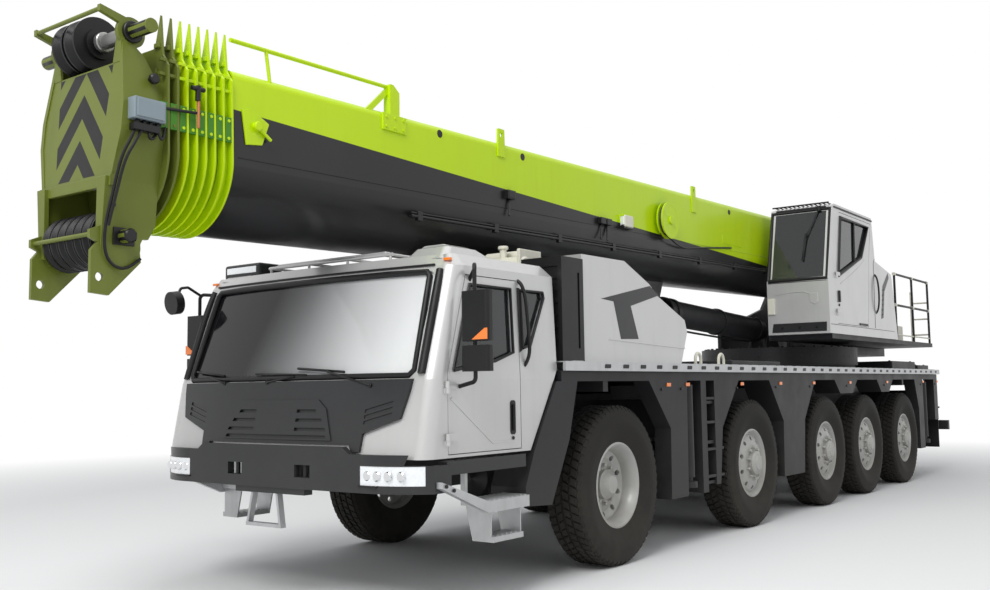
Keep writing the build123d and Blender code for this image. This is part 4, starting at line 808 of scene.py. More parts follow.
CREAM = Finish("cream_rail", (0.70, 0.68, 0.58), rough=0.45, coat=0.2, grain_scale=8.0, streaks=0.1,
               dust=0.0, dust_top=1.0, relief=0.05)
GREY_BOX = Finish("grey_box", (0.22, 0.27, 0.30), rough=0.45, metallic=0.1, coat=0.1, grain=0.1,
                  grain_scale=8.0, dust=0.0, dust_top=1.0, relief=0.1)
GLASS = Finish("tinted_glass", (0.06, 0.07, 0.075), rough=0.04, grain=0.05, grain_scale=2.0, streaks=0.02,
               dust=0.0, dust_top=1.0, relief=0.0, relief_scale=50.0, transmission=0.75, specular=0.8,
               ior=1.5)
# the windscreen's colour holds a painted reflection of pale sky towards its left end
SCREEN = ScreenGlass("screen_glass", (0.012, 0.012, 0.014), rough=0.08, grain=0.05, grain_scale=2.0,
                     streaks=0.02, dust=0.0, dust_top=1.0, relief=0.0, relief_scale=50.0, transmission=0.25,
                     specular=0.4)
LENS = Finish("lamp_lens", (0.80, 0.82, 0.84), rough=0.12, metallic=0.3, coat=0.6, grain=0.25,
              grain_scale=40.0, streaks=0.1, dust=0.1, dust_top=1.2, relief=0.5, relief_scale=60.0,
              glow=0.12)
AMBER = Finish("amber_lens", (0.85, 0.20, 0.02), rough=0.2, coat=0.6, grain=0.15, grain_scale=60.0,
               streaks=0.0, dust=0.0, dust_top=1.0, relief=0.3, relief_scale=80.0, glow=0.1)
RED = Finish("red_lens", (0.50, 0.01, 0.01), rough=0.2, coat=0.6, grain=0.15, grain_scale=60.0, streaks=0.0,
             dust=0.1, dust_top=1.0, relief=0.3, relief_scale=80.0, glow=0.05)
COPPER = Finish("copper_fitting", (0.45, 0.17, 0.08), rough=0.4, metallic=0.6, grain=0.2, grain_scale=12.0,
                streaks=0.0, dust=0.0, dust_top=1.0, relief=0.1)
GREEN_PAD = Finish("green_pad", (0.05, 0.20, 0.01), rough=0.6, grain=0.3, grain_scale=14.0, streaks=0.0,
                   dust=0.0, dust_top=1.0, relief=0.3)
ROPE = Finish("hoist_rope", (0.07, 0.07, 0.066), rough=0.55, metallic=0.5, grain=0.4, grain_scale=60.0,
              streaks=0.0, dust=0.0, dust_top=1.0, relief=0.6, relief_scale=220.0)


def dress(obj: MeshObject, finish: Finish) -> MeshObject:
    """Gives a piece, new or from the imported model, one finish all over.

    Args:
        obj: the piece.
        finish: its finish.

    Returns:
        The same piece.
    """
    obj.data.materials.clear()
    obj.data.materials.append(finish.material())
    return obj


def fit(obj: MeshObject, body: str, finish: Finish, slot: str) -> MeshObject:
    """Finishes a new piece.

    Args:
        obj: the piece, in its place at rest.
        body: the body that it rides on.
        finish: its finish.
        slot: not used.

    Returns:
        The same piece.
    """
    settle(obj)
    dress(obj, finish)
    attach(obj, body)
    LOG.info("%s: %d faces on %s", obj.name, len(obj.data.polygons), body)
    return obj


# ------------------------------------------------------------------ wheels
class RimKind(Enum):
    """The two rims: a deep dish in front, flatter discs behind."""

    DEEP = "deep"
    FLAT = "flat"


@dataclass
class Wheels:
    """The ten wheels: block-tread tyres on ventilated disc rims."""

    tyre_radius: float = 0.684
    tyre_width: float = 0.385
    tread_depth: float = 0.016
    bead_radius: float = 0.338
    blocks: int = 58
    nuts: int = 10
    holes: int = 10
    flange_radius: float = 0.368
    nut_circle: float = 0.168
    hole_circle: float = 0.262
    bolt_circle: float = 0.096
    hub_bolts: int = 8
    deep_set: float = 0.205
    flat_set: float = 0.062

    def tyre(self, centre: Vector) -> MeshObject:
        """A tyre with its tread blocks and shoulder lugs, round an axle centre.

        Args:
            centre: the wheel's middle.

        Returns:
            The tyre as one piece.
        """
        base = self.tyre_radius - self.tread_depth
        walls = ((self.bead_radius, 0.110), (0.352, 0.138), (0.372, 0.146), (0.400, 0.152), (0.440, 0.168),
                 (0.500, 0.184), (0.545, 0.190), (0.560, 0.186), (0.600, 0.180), (0.640, 0.172),
                 (base - 0.012, 0.164), (base, 0.150))
        profile = [(r, -h) for r, h in walls] + [(r, h) for r, h in reversed(walls)]
        body = lathe("tyre", profile, Axis.X, centre, 72)
        return join("tyre", [body, self.tread(centre, base), self.shoulder_lugs(centre, base)])

    def tread(self, centre: Vector, base: float) -> MeshObject:
        """The rows of tread blocks: four across, staggered, with grooves between them.

        Args:
            centre: the wheel's middle.
            base: the radius of the grooves' floor.

        Returns:
            All of the blocks as one piece.
        """
        pitch = 2 * pi * self.tyre_radius / self.blocks
        rows = ((-0.112, 0.062, 0.0), (-0.038, 0.052, 0.5), (0.038, 0.052, 0.0), (0.112, 0.062, 0.5))
        made = []
        for middle, width, lag in rows:
            lug = block("lug",
                        (centre.x + middle - width / 2, centre.y - pitch * 0.41, centre.z + base - 0.004),
                        (centre.x + middle + width / 2, centre.y + pitch * 0.41,
                         centre.z + self.tyre_radius), 0.0)
            self.shape_lug(lug, centre, lag * 2 * pi / self.blocks, 0.012 if middle < 0 else -0.012)
            made.append(ring_of(lug, self.blocks, Axis.X, centre))
        return join("tread", made)

    def shape_lug(self, lug: MeshObject, centre: Vector, angle: float, skew: float) -> None:
        """Tapers a tread block's crown, slants it and turns it to its start angle.

        Args:
            lug: the block, at the wheel's top.
            centre: the wheel's middle.
            angle: its start angle.
            skew: how far its ends are slanted.
        """
        only(lug)
        top = max(v.co.z for v in lug.data.vertices)
        middle = sum((v.co for v in lug.data.vertices), Vector()) / len(lug.data.vertices)
        for vertex in lug.data.vertices:
            if vertex.co.z > top - 1e-5:
                vertex.co.y = middle.y + (vertex.co.y - middle.y) * 0.9
                vertex.co.x = middle.x + (vertex.co.x - middle.x) * 0.94
            vertex.co.y += skew * (1 if vertex.co.x > middle.x else -1)
        turn = Matrix.Translation(centre) @ Matrix.Rotation(angle, 4, "X") @ Matrix.Translation(-centre)
        lug.data.transform(turn)

    def shoulder_lugs(self, centre: Vector, base: float) -> MeshObject:
        """The lugs that wrap over both shoulders.

        Args:
            centre: the wheel's middle.
            base: the radius of the grooves' floor.

        Returns:
            All of the lugs as one piece.
        """
        made = []
        for side in (-1, 1):
            outline = ((base - 0.060, 0.176), (base - 0.012, 0.170), (base + 0.008, 0.146),
                       (base - 0.02, 0.140))
            corners = [(centre.x + side * h, centre.z + r) for r, h in outline]
            lug = slab("shoulder", corners, Axis.Y, centre.y - 0.020, centre.y + 0.020, 0.0)
            made.append(ring_of(lug, self.blocks, Axis.X, centre))
        return join("shoulders", made)

    def disc_place(self, kind: RimKind) -> float:
        """How far out from the wheel's middle the rim's disc stands."""
        return self.tyre_width / 2 - (self.deep_set if kind is RimKind.DEEP else self.flat_set)

    def disc_profile(self, kind: RimKind) -> list[Pair]:
        """The rim's closed section as (radius, distance out from the wheel's middle).

        Args:
            kind: a deep or a flat rim.

        Returns:
            The section's corners in order.
        """
        disc = self.disc_place(kind)
        outside = [(0.352, 0.128), (self.flange_radius, 0.132), (self.flange_radius, 0.144), (0.352, 0.150),
                   (0.341, 0.140), (0.330, 0.118), (0.318, 0.100)]
        if kind is RimKind.DEEP:
            outside += [(0.306, 0.060), (0.298, disc + 0.022), (0.280, disc + 0.004), (0.235, disc - 0.012),
                        (0.200, disc), (0.130, disc)]
        else:
            outside += [(0.312, disc - 0.030), (0.300, disc - 0.016), (0.250, disc + 0.006),
                        (0.205, disc + 0.018), (0.130, disc + 0.018)]
        inside = [(0.130, disc - 0.012), (0.290, disc - 0.024), (0.312, min(0.03, disc - 0.03)),
                  (0.312, -0.10), (0.338, -0.13), (self.flange_radius, -0.140),
                  (self.flange_radius, -0.128), (0.345, -0.118), (0.322, -0.095), (0.322, 0.08)]
        return outside + inside

    def rim(self, centre: Vector, out: float, kind: RimKind) -> MeshObject:
        """A rim with its hand holes, hub and wheel nuts.

        Args:
            centre: the wheel's middle.
            out: the side that the rim faces, 1 for left and -1 for right.
            kind: a deep or a flat rim.

        Returns:
            The rim as one piece.
        """
        disc = self.disc_place(kind)
        profile = [(r, out * h) for r, h in self.disc_profile(kind)]
        body = lathe("rim", profile, Axis.X, centre, 64)
        height = centre.z + self.hole_circle
        drill = bar("drill", (centre.x + out * (disc - 0.08), centre.y, height),
                    (centre.x + out * (disc + 0.06), centre.y, height), 0.024, 14)
        body = cut(body, ring_of(drill, self.holes, Axis.X, centre))
        seat = disc + (0.0 if kind is RimKind.DEEP else 0.018)
        hub_out = 0.105 if kind is RimKind.DEEP else 0.075
        hub = [(0.128, seat - 0.03), (0.128, seat + 0.045), (0.108, seat + 0.060),
               (0.086, seat + hub_out - 0.012), (0.074, seat + hub_out), (0.0, seat + hub_out + 0.003),
               (0.0, seat - 0.03)]
        hub = lathe("hub", [(r, out * h) for r, h in hub], Axis.X, centre, 32)
        start = (centre.x + out * (seat - 0.002), centre.y, centre.z + self.nut_circle)
        nut = bar("nut", start, (centre.x + out * (seat + 0.034), *start[1:]), 0.0165, 6, 0.002)
        washer = bar("washer", start, (centre.x + out * (seat + 0.008), *start[1:]), 0.024, 12)
        nuts = ring_of(join("nut", [nut, washer]), self.nuts, Axis.X, centre)
        height = centre.z + self.bolt_circle
        bolt = bar("bolt", (centre.x + out * (seat + 0.052), centre.y, height),
                   (centre.x + out * (seat + 0.066), centre.y, height), 0.008, 6)
        bolts = ring_of(bolt, self.hub_bolts, Axis.X, centre)
        return smooth(join("rim", [body, hub, nuts, bolts]), 35)

    def build(self) -> None:
        """Dresses all ten wheels: one tyre and one rim of each kind and side, copied to their places."""
        for side, out in SIDES:
            models: dict[RimKind, MeshObject] = {}
            tyre = None
            for number in range(1, 6):
                node = f"wheel_{number}_{side}"
                low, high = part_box(node)
                centre = (low + high) / 2
                kind = RimKind.DEEP if number == 1 else RimKind.FLAT
                if tyre is None:
                    tyre, home = self.tyre(centre), centre
                if kind not in models:
                    models[kind] = self.rim(home, out, kind)
                shift = tuple(centre - home)
                new_tyre = copy_moved(tyre, shift)
                new_tyre.name = f"tyre_{number}_{side}"
                new_rim = copy_moved(models[kind], shift)
                new_rim.name = f"rim_{number}_{side}"
                fit(new_tyre, node, RUBBER, "tyre_rubber")
                fit(new_rim, node, WHEEL, "silver_paint")
                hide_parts(node)
            for model in (tyre, *models.values()):
                bpy.data.objects.remove(model)


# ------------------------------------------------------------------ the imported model's own finishes
@dataclass
class PackedFinishes:
    """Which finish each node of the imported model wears, by its name's start."""

    rows: tuple[tuple[str, Finish], ...] = (
        ("chassis_frame", CHASSIS), ("axle_beams", CHASSIS), ("knuckle", STEEL), ("slewing_ring", CHASSIS),
        ("deck", ALLOY), ("skirts", CHASSIS), ("engine_block",
                                               STEEL), ("cab_shell", SILVER), ("door", SILVER),
        ("cab_glass", SCREEN), ("front_panel",
                                CHARCOAL), ("bumper", CHARCOAL), ("lamps", LENS), ("mirror", PLASTIC),
        ("steps", ALLOY), ("cab_interior", PLASTIC), ("side_hoods", SILVER), ("intake_towers", PLASTIC),
        ("outrigger_beam", CHASSIS), ("outrigger_jack", CHASSIS), ("turntable_frame", CHASSIS),
        ("operator_cab", SILVER), ("operator_door", SILVER), ("operator_glass", GLASS), ("winch_drum", STEEL),
        ("boom_base", BOOM), ("boom_section_4", OLIVE), ("boom_section", LIME), ("boom_head", OLIVE),
        ("upper_sheaves",
         PLASTIC), ("lower_sheaves", PLASTIC), ("lift_barrel", CHASSIS), ("lift_rod", CHROME),
        ("wheel", RUBBER),
    )

    def build(self, nodes: dict[str, MeshObject]) -> None:
        """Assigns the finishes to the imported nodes.

        Args:
            nodes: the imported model's nodes by name.
        """
        for name, node in nodes.items():
            finish = next(found for start, found in self.rows if name.startswith(start))
            dress(node, finish)
            LOG.info("%s: %s", name, finish.name)


# ------------------------------------------------------------------ boom head and collars
@dataclass
class BoomHeadTrim:
    """What is fixed to the boom's head: junction box, hoses, pin caps and edge strips."""

    body: str = "boom_section_4"
    box_low: Triple = (0.0, -1.700, 3.222)
    box_high: Triple = (0.0, -1.485, 3.352)
    upper_pin: Pair = (-1.640, 3.800)
    lower_pin: Pair = (-1.650, 2.500)

    def junction_box(self) -> None:
        """The grey junction box with its lid, screws and glands."""
        low, high = self.box_low, self.box_high
        case = block("junction_box", at(0.448, low[1] - 0.006, low[2] - 0.004),
                     at(0.536, high[1] + 0.004, high[2] + 0.003), 0.006)
        lid = block("lid", at(0.534, low[1] + 0.008, low[2] + 0.008),
                    at(0.546, high[1] - 0.012, high[2] - 0.008))
        fit(join("junction_box", [case, lid]), self.body, GREY_BOX, "black_steel")
        glands = []
        for k in range(4):
            y = low[1] + 0.035 + 0.048 * k
            glands.append(bar("gland", at(0.50, y, low[2] - 0.002), at(0.50, y, low[2] - 0.034), 0.014, 8))
        clamp = block("clamp", at(0.47, low[1] - 0.002, low[2] - 0.075),
                      at(0.53, high[1] - 0.03, low[2] - 0.030))
        fit(join("junction_glands", glands + [clamp]), self.body, STEEL, "black_steel")

    def hoses(self) -> None:
        """Cables that run from the box down the cheek and round its foot."""
        paths = (
            ((0.50, -1.665, 3.19), (0.50, -1.70, 3.10), (0.47, -1.75, 2.98), (0.425, -1.775, 2.75),
             (0.385, -1.80,
              2.55), (0.372, -1.79, 2.38), (0.372, -1.72, 2.30), (0.372, -1.62, 2.30), (0.372, -1.54, 2.37)),
            ((0.51, -1.62, 3.19), (0.515, -1.68, 3.08), (0.485, -1.735, 2.96), (0.44, -1.76, 2.75),
             (0.40, -1.785, 2.55)),
            ((0.50, -1.57, 3.19), (0.52, -1.60, 3.12), (0.51, -1.56, 3.10), (0.49, -1.50, 3.20),
             (0.49, -1.46, 3.30)),
            ((0.51, -1.53, 3.19), (0.53, -1.52, 3.11), (0.50, -1.47, 3.13), (0.48, -1.45, 3.24)),
        )
        made = [pipe("hose", [at(*point) for point in path], 0.010) for path in paths]
        fit(join("head_cables", made), self.body, PLASTIC, "black_plastic")

    def pins(self) -> None:
        """Caps and keepers on both sheave pins, the knobs and ports beside them, and the bare shaft."""
        made = []
        for side in (-1, 1):
            y, z = self.upper_pin
            made.append(cross_bar("cap", side * 0.39, side * 0.597, y, z, 0.050, 6, 0.010))
            made.append(cross_bar("collar", side * 0.384, side * 0.412, y, z, 0.070, 24, 0.005))
            y, z = self.lower_pin
            made.append(cross_bar("cap", side * 0.35, side * 0.445, y, z, 0.050, 6, 0.010))
            made.append(block("keeper", at(side * 0.352, y - 0.075, z - 0.055),
                              at(side * 0.364, y + 0.075, z + 0.055)))
            made.append(cross_bar("knob_stem", side * 0.40, side * 0.455, -1.53, 3.51, 0.016, 12))
            made.append(cross_bar("knob", side * 0.452, side * 0.492, -1.53, 3.51, 0.034, 16, 0.008))
            made.append(cross_bar("port", side * 0.36, side * 0.379, -1.735, 2.69, 0.016, 16))
        fit(join("head_pin_caps", made), self.body, STEEL, "black_steel")
        shaft = bar("sheave_shaft", at(0.045, *self.upper_pin), at(0.345, *self.upper_pin), 0.0462, 32)
        ring = bar("ring", at(0.06, *self.upper_pin), at(0.10, *self.upper_pin), 0.066, 32, 0.006)
        fit(join("sheave_shaft_sleeve", [shaft, ring]), self.body, SHAFT, "chrome_rod")

    def frame_strips(self) -> None:
        """Raised rims beside the front plate's openings, its sill, and the lower sheaves' side plates."""
        made = []
        for side in (-1, 1):
            made.append(slab("rim",
                             front_view(side, ((0.295, 3.60), (0.384, 3.60), (0.383, 3.86), (0.345, 3.86))),
                             Axis.Y, station(-1.712), station(-1.694), 0.003))
            made.append(slab("rim",
                             front_view(side, ((0.292, 2.40), (0.350, 2.40), (0.392, 2.86), (0.300, 2.86))),
                             Axis.Y, station(-1.806), station(-1.772), 0.003))
        made.append(slab("sill", [(-0.40, 2.800), (0.40, 2.800), (0.405, 2.872), (-0.405, 2.872)], Axis.Y,
                         station(-1.782), station(-1.745), 0.004))
        fit(join("head_rims", made), self.body, OLIVE, "olive_paint")
        low = self.lower_pin[1]
        plates = []
        for k in range(7):
            x = -0.27 + 0.09 * k
            plates.append(cross_bar("guide", x - 0.004, x + 0.004, -1.650, low, 0.178, 40, 0.002))
        fit(join("sheave_side_plates", plates), "lower_sheaves", STEEL, "black_steel")

    def build(self) -> None:
        """Builds all of the head's trim."""
        self.junction_box()
        self.hoses()
        self.pins()
        self.frame_strips()


@dataclass
class CollarTrim:
    """The bars, wear pads and bolts on the eight collar plates, and the cable guide beside them."""

    pitch: float = 0.072
    thickness: float = 0.016
    rear: float = -0.920

    def collar_station(self, number: int) -> float:
        """The rear face of collar plate number, counted from the rear."""
        return self.rear - self.pitch * number

    def build(self) -> None:
        """Adds each plate's bars, pads and bolts to the section that carries it."""
        for section in range(1, 5):
            body = f"boom_section_{section}"
            paint, slot_name = (OLIVE, "olive_paint") if section == 4 else (LIME, "lime_paint")
            bars, pads, bolts = [], [], []
            for number in (2 * section - 2, 2 * section - 1):
                y = self.collar_station(number) - self.thickness
                for side in (-1, 1):
                    for z in (3.655, 3.560):
                        bars.append(block("bar", at(side * 0.452, y - 0.050, z - 0.011),
                                          at(side * 0.478, y + 0.002, z + 0.011), 0.003))
                    pads.append(block("pad", at(side * 0.474, y - 0.052, 3.205),
                                      at(side * 0.4945, y + 0.001, 3.375), 0.004))
                    for z in (3.23, 3.35):
                        bolts.append(cross_bar("bolt", side * 0.490, side * 0.500, y - 0.025, z, 0.012, 6))
                    bars.append(block("ear_foot", at(side * 0.372, y - 0.030, 3.745),
                                      at(side * 0.425, y + 0.002, 3.775), 0.003))
            fit(join(f"collar_bars_{section}", bars), body, paint, slot_name)
            fit(join(f"collar_pads_{section}", pads), body, GREEN_PAD, slot_name)
            fit(join(f"collar_bolts_{section}", bolts), body, paint, slot_name)
        self.sensor()

    def sensor(self) -> None:
        """The cable guide beside the smallest section: a bar, a copper union and a black tee."""
        body = "boom_section_4"
        rod_piece = bar("guide_bar", at(0.49, -1.47, 3.33), at(0.53, -1.22, 3.34), 0.010, 12)
        knuckle = bar("knuckle", at(0.53, -1.24, 3.42), at(0.53, -1.24, 3.52), 0.018, 12)
        tee = bar("tee", at(0.53, -1.29, 3.50), at(0.53, -1.19, 3.50), 0.016, 12)
        fit(join("cable_guide", [rod_piece, knuckle, tee]), body, STEEL, "black_steel")
        union = bar("cable_union", at(0.53, -1.235, 3.24), at(0.53, -1.235, 3.42), 0.011, 12)
        fit(union, body, COPPER, "chrome_rod")


# ------------------------------------------------------------------ boom
@dataclass
class BoomTrim:
    """Fittings on the boom's base section: ports, seams, hose reel, work lamp, pipe runs and latch."""

    body: str = "boom_base"
    reel_middle: Pair = (5.30, 3.44)

    def holes(self) -> None:
        """Round black ports along both sides of the boom's top."""
        made = []
        for side in (-1, 1):
            for y, z in ((1.28, 3.700), (2.50, 3.712), (7.19, 3.792)):
                made.append(cross_bar("port", side * 0.462, side * 0.4735, y, z, 0.034, 24, 0.002))
        fit(join("boom_ports", made), self.body, PLASTIC, "black_plastic")

    def seams(self) -> None:
        """Weld seams along the boom's knees."""
        made = []
        for side in (-1, 1):
            made.append(bar("seam", at(side * 0.4706, -0.86, 3.12), at(side * 0.4706, 11.2, 3.372), 0.004, 8))
        fit(join("boom_seams", made), self.body, BOOM, "lime_paint")

    def reel(self) -> None:
        """The hose reel: two lime flanges, the wound hose between them and the hose's lead."""
        y, z = self.reel_middle
        centre = Vector(at(0.0, y, z))
        rims = []
        for x in (0.512, 0.572):
            profile = [(0.215, x), (0.215, x + 0.012), (0.190, x + 0.014), (0.150, x + 0.006), (0.150, x)]
            rims.append(lathe("rim", profile, Axis.X, centre, 48))
            spoke = block("spoke", at(x + 0.001, y - 0.016, z + 0.03), at(x + 0.010, y + 0.016, z + 0.16),
                          0.003)
            rims.append(ring_of(spoke, 6, Axis.X, centre))
        rims.append(cross_bar("hub", 0.500, 0.600, y, z, 0.050, 24, 0.006))
        fit(join("hose_reel", rims), self.body, LIME, "lime_paint")
        layers = [(0.135 + 0.012 * k, 0.526 + (0.006 if k % 2 else 0.0)) for k in range(5)]
        profile = [(0.120, 0.526)] + [(r, x) for r, x in layers] + [(0.183, 0.568), (0.120, 0.568)]
        fit(lathe("reel_hose", profile, Axis.X, centre, 48), self.body, ROPE, "black_plastic")
        lead = pipe("reel_lead",
                    [at(0.54, y + 0.02, z - 0.18), at(0.53, y + 0.30, z - 0.30),
                     at(0.49, y + 0.9, z - 0.22), at(0.478, y + 1.9, z - 0.12)], 0.011)
        fit(lead, self.body, PLASTIC, "black_plastic")

    def side_gear(self) -> None:
        """The pale work lamp, clips, clamps and the pipe run along the boom's left side."""
        case = block("lamp_case", at(0.47, 4.30, 3.255), at(0.545, 4.49, 3.385), 0.012)
        fit(case, self.body, CREAM, "silver_paint")
        glass = block("lamp_face", at(0.49, 4.286, 3.275), at(0.535, 4.302, 3.365), 0.004)
        fit(glass, self.body, LENS, "lamp_lens")
        made = []
        for y, z in ((2.26, 3.31), (3.90, 3.27), (4.02, 3.27)):
            made.append(block("clip", at(0.468, y - 0.05, z - 0.035), at(0.520, y + 0.05, z + 0.035), 0.006))
            made.append(bar("stem", at(0.48, y, z - 0.03), at(0.50, y - 0.03, z - 0.20), 0.010, 10))
        for k in range(9):
            y = 1.0 + 1.05 * k
            z = 2.93 + 0.021 * y
            made.append(block("clamp", at(0.455, y - 0.03, z - 0.04), at(0.492, y + 0.03, z + 0.04), 0.004))
        made.append(bar("run", at(0.478, 0.9, 2.945), at(0.478, 9.6, 3.128), 0.014, 10))
        made.append(bar("run", at(0.476, 0.9, 2.972), at(0.476, 9.6, 3.155), 0.009, 10))
        fit(join("boom_side_gear", made), self.body, STEEL, "black_steel")

    def latch(self) -> None:
        """The lime latch bracket behind the collars, a bolted base plate and a blank sign plate."""
        plate = slab("latch",
                     side_view(((-0.84, 3.46), (-0.76, 3.48), (-0.60, 3.40), (-0.66, 3.24), (-0.80, 3.22))),
                     Axis.X, 0.468, 0.482, 0.003)
        roll = cross_bar("roll", 0.475, 0.520, -0.72, 3.36, 0.034, 20, 0.006)
        arm = bar("arm", at(0.50, -0.72, 3.36), at(0.50, -0.60, 3.28), 0.012, 12)
        base = block("base", at(0.468, 0.56, 3.60), at(0.486, 0.84, 3.74), 0.004)
        bolts = [cross_bar("bolt", 0.484, 0.494, y, z, 0.013, 6)
                 for y in (0.60, 0.70, 0.80) for z in (3.63, 3.71)]
        fit(join("boom_latch", [plate, roll, arm, base, *bolts]), self.body, LIME, "lime_paint")
        mark = block("blank_sign", at(0.4695, 6.95, 3.36), at(0.4745, 7.55, 3.46), 0.002)
        fit(mark, self.body, LIME, "lime_paint")

    def build(self) -> None:
        """Builds all of the base section's fittings."""
        self.holes()
        self.seams()
        self.reel()
        self.side_gear()
        self.latch()


# ------------------------------------------------------------------ carrier cab
@dataclass
class CarrierCabTrim:
    """The carrier cab's seals, panes, wipers, handles, roof gear, lamp cells and step ribs."""

    body: str = "carrier"
    half_width: float = 1.430
    top_half_width: float = 1.395
    screen_foot: float = 1.60
    screen_height: float = 0.82
    screen_half: float = 1.30
    pane_set: Triple = (0.028, 0.005, 0.0)

    def screen_front(self, x: float, z: float) -> float:
        """The station of the bowed front's surface at a width and a height on the windscreen.

        Args:
            x: the width.
            z: the height.

        Returns:
            The station.
        """
        share = (z - self.screen_foot) / self.screen_height
        middle = -0.025 + share * 0.280
        corner = 0.050 + share * 0.275
        return middle + (corner - middle) * (abs(x) / self.screen_half) ** 2

    def off_screen(self, x: float, z: float, gap: float) -> Triple:
        """A place that stands this gap in front of the windscreen."""
        return at(x, self.screen_front(x, z) - gap, z)

    def screen_seal(self) -> None:
        """The black seal round the windscreen, the pillar strips beside it and the gutter above it."""
        bottom = [(x, 1.628) for x in (-1.20, -0.80, -0.40, 0.0, 0.40, 0.80, 1.20)]
        ring = [*bottom, (1.236, 1.665), (1.214, 2.00), (1.190, 2.345), (1.160, 2.378)]
        ring += [(x, 2.384) for x in (0.80, 0.40, 0.0, -0.40, -0.80)]
        ring += [(-1.160, 2.378), (-1.190, 2.345), (-1.214, 2.00), (-1.236, 1.665), (-1.20, 1.628)]
        points = [self.off_screen(x, z, -0.004) for x, z in ring]
        seal = pipe("screen_seal", points, 0.024, 3, curved=False)
        fit(seal, self.body, PLASTIC, "black_plastic")
        strips = []
        for side in (-1, 1):
            points = [at(side * 1.306, 0.062, 1.64), at(side * 1.298, 0.16, 1.95),
                      at(side * 1.284, 0.27, 2.28), at(side * 1.270, 0.318, 2.385)]
            strips.append(pipe("pillar_strip", points, 0.032, 3))
        fit(join("pillar_strips", strips), self.body, PLASTIC, "black_plastic")
        gutter = [at(x, self.screen_front(x, 2.42) - 0.004, 2.428)
                  for x in (-1.22, -0.8, -0.4, 0.0, 0.4, 0.8, 1.22)]
        fit(pipe("front_gutter", gutter, 0.009, 2), self.body, PLASTIC, "black_plastic")

    def wipers(self) -> None:
        """Three wipers parked along the windscreen's foot."""
        made = []
        for root, tip, blade in (((-0.166, 1.60), (0.12, 1.640), ((-0.34, 1.668), (0.24, 1.648))),
                                 ((0.90, 1.565), (0.45, 1.672), ((0.13, 1.700), (0.62, 1.665))),
                                 ((-0.70, 1.600), (-0.92, 1.650), ((-1.16, 1.700), (-0.74, 1.660)))):
            made.append(bar("spindle", self.off_screen(*root, 0.005), self.off_screen(*root, 0.035), 0.016,
                            14))
            made.append(bar("arm", self.off_screen(*root, 0.032), self.off_screen(*tip, 0.026), 0.008, 8))
            start, end = blade
            made.append(bar("blade", self.off_screen(*start, 0.016), self.off_screen(*end, 0.016), 0.010, 8))
        fit(join("wipers", made), self.body, PLASTIC, "black_plastic")

    def door_gear(self) -> None:
        """Each door's recessed handle, window pane and seal, crease and mirror lamp."""
        for name, side in SIDES:
            body = f"door_{name}"
            well = slab("well",
                        side_view(((0.925, 1.20), (0.94, 1.185), (0.975, 1.185), (0.99, 1.20),
                                   (0.99, 1.425), (0.975, 1.44), (0.94, 1.44), (0.925, 1.425))), Axis.X,
                        side * 1.424, side * 1.4335, 0.002)
            grip = bar("grip", at(side * 1.440, 0.957, 1.215), at(side * 1.440, 0.957, 1.41), 0.013, 12,
                       0.004)
            feet = [cross_bar("foot", side * 1.428, side * 1.440, 0.957, z, 0.011, 10)
                    for z in (1.225, 1.40)]
            lock = cross_bar("lock", side * 1.4315, side * 1.436, 0.957, 1.16, 0.014, 16)
            fit(join(f"door_handle_{name}", [well, grip, lock, *feet]), body, PLASTIC, "black_plastic")
            corners = ((0.262, 1.660), (0.760, 1.735), (0.985, 1.800), (0.985, 2.285), (0.485, 2.285),
                       (0.262, 1.660))
            seal = pipe("window_seal", [at(side * self.side_x(z), y, z) for y, z in corners], 0.013, 2,
                        curved=False)
            fit(seal, body, PLASTIC, "black_plastic")
            pane = self.side_sheet(f"door_pane_{name}", side, corners[:-1], *self.pane_set)
            fit(pane, body, GLASS, "tinted_glass")
            crease = slab("crease",
                          side_view(((0.22, 1.46), (0.70, 1.13), (0.98, 1.13), (0.98, 1.145), (0.71, 1.145),
                                     (0.24, 1.475))), Axis.X, side * 1.426, side * 1.4325, 0.002)
            fit(crease, body, SILVER, "silver_paint")
            face = 0.250 if side > 0 else 0.360
            lamp = slab("indicator",
                        front_view(side, ((1.600, 1.868), (1.738, 1.868), (1.738, 1.945), (1.715, 1.945))),
                        Axis.Y, station(face - 0.005), station(face + 0.001), 0.002)
            fit(lamp, body, AMBER, "lamp_lens")

    def side_x(self, z: float) -> float:
        """The half width of the cab's side at a height.

        Args:
            z: the height.

        Returns:
            The half width.
        """
        if z < self.screen_foot:
            return self.half_width
        lean = (self.half_width - self.top_half_width) * (z - self.screen_foot)
        return self.half_width - lean / self.screen_height

    def side_sheet(self, name: str, side: int, corners: Sequence[Pair], depth: float,
                   *shape: float) -> MeshObject:
        """A thin sheet that leans with the cab's side.

        Args:
            name: the piece's name.
            side: 1 for the left side, -1 for the right.
            corners: its corners' stations and heights.
            depth: how far its inner face lies inside the cab's skin.
            shape: its thickness and its bevel.

        Returns:
            The sheet as a mesh object.
        """
        sheet = slab(name, side_view(corners), Axis.X, 0.0, *shape)
        for vertex in sheet.data.vertices:
            vertex.co.x = side * (self.side_x(vertex.co.z) - depth + vertex.co.x)
        return outward(sheet)

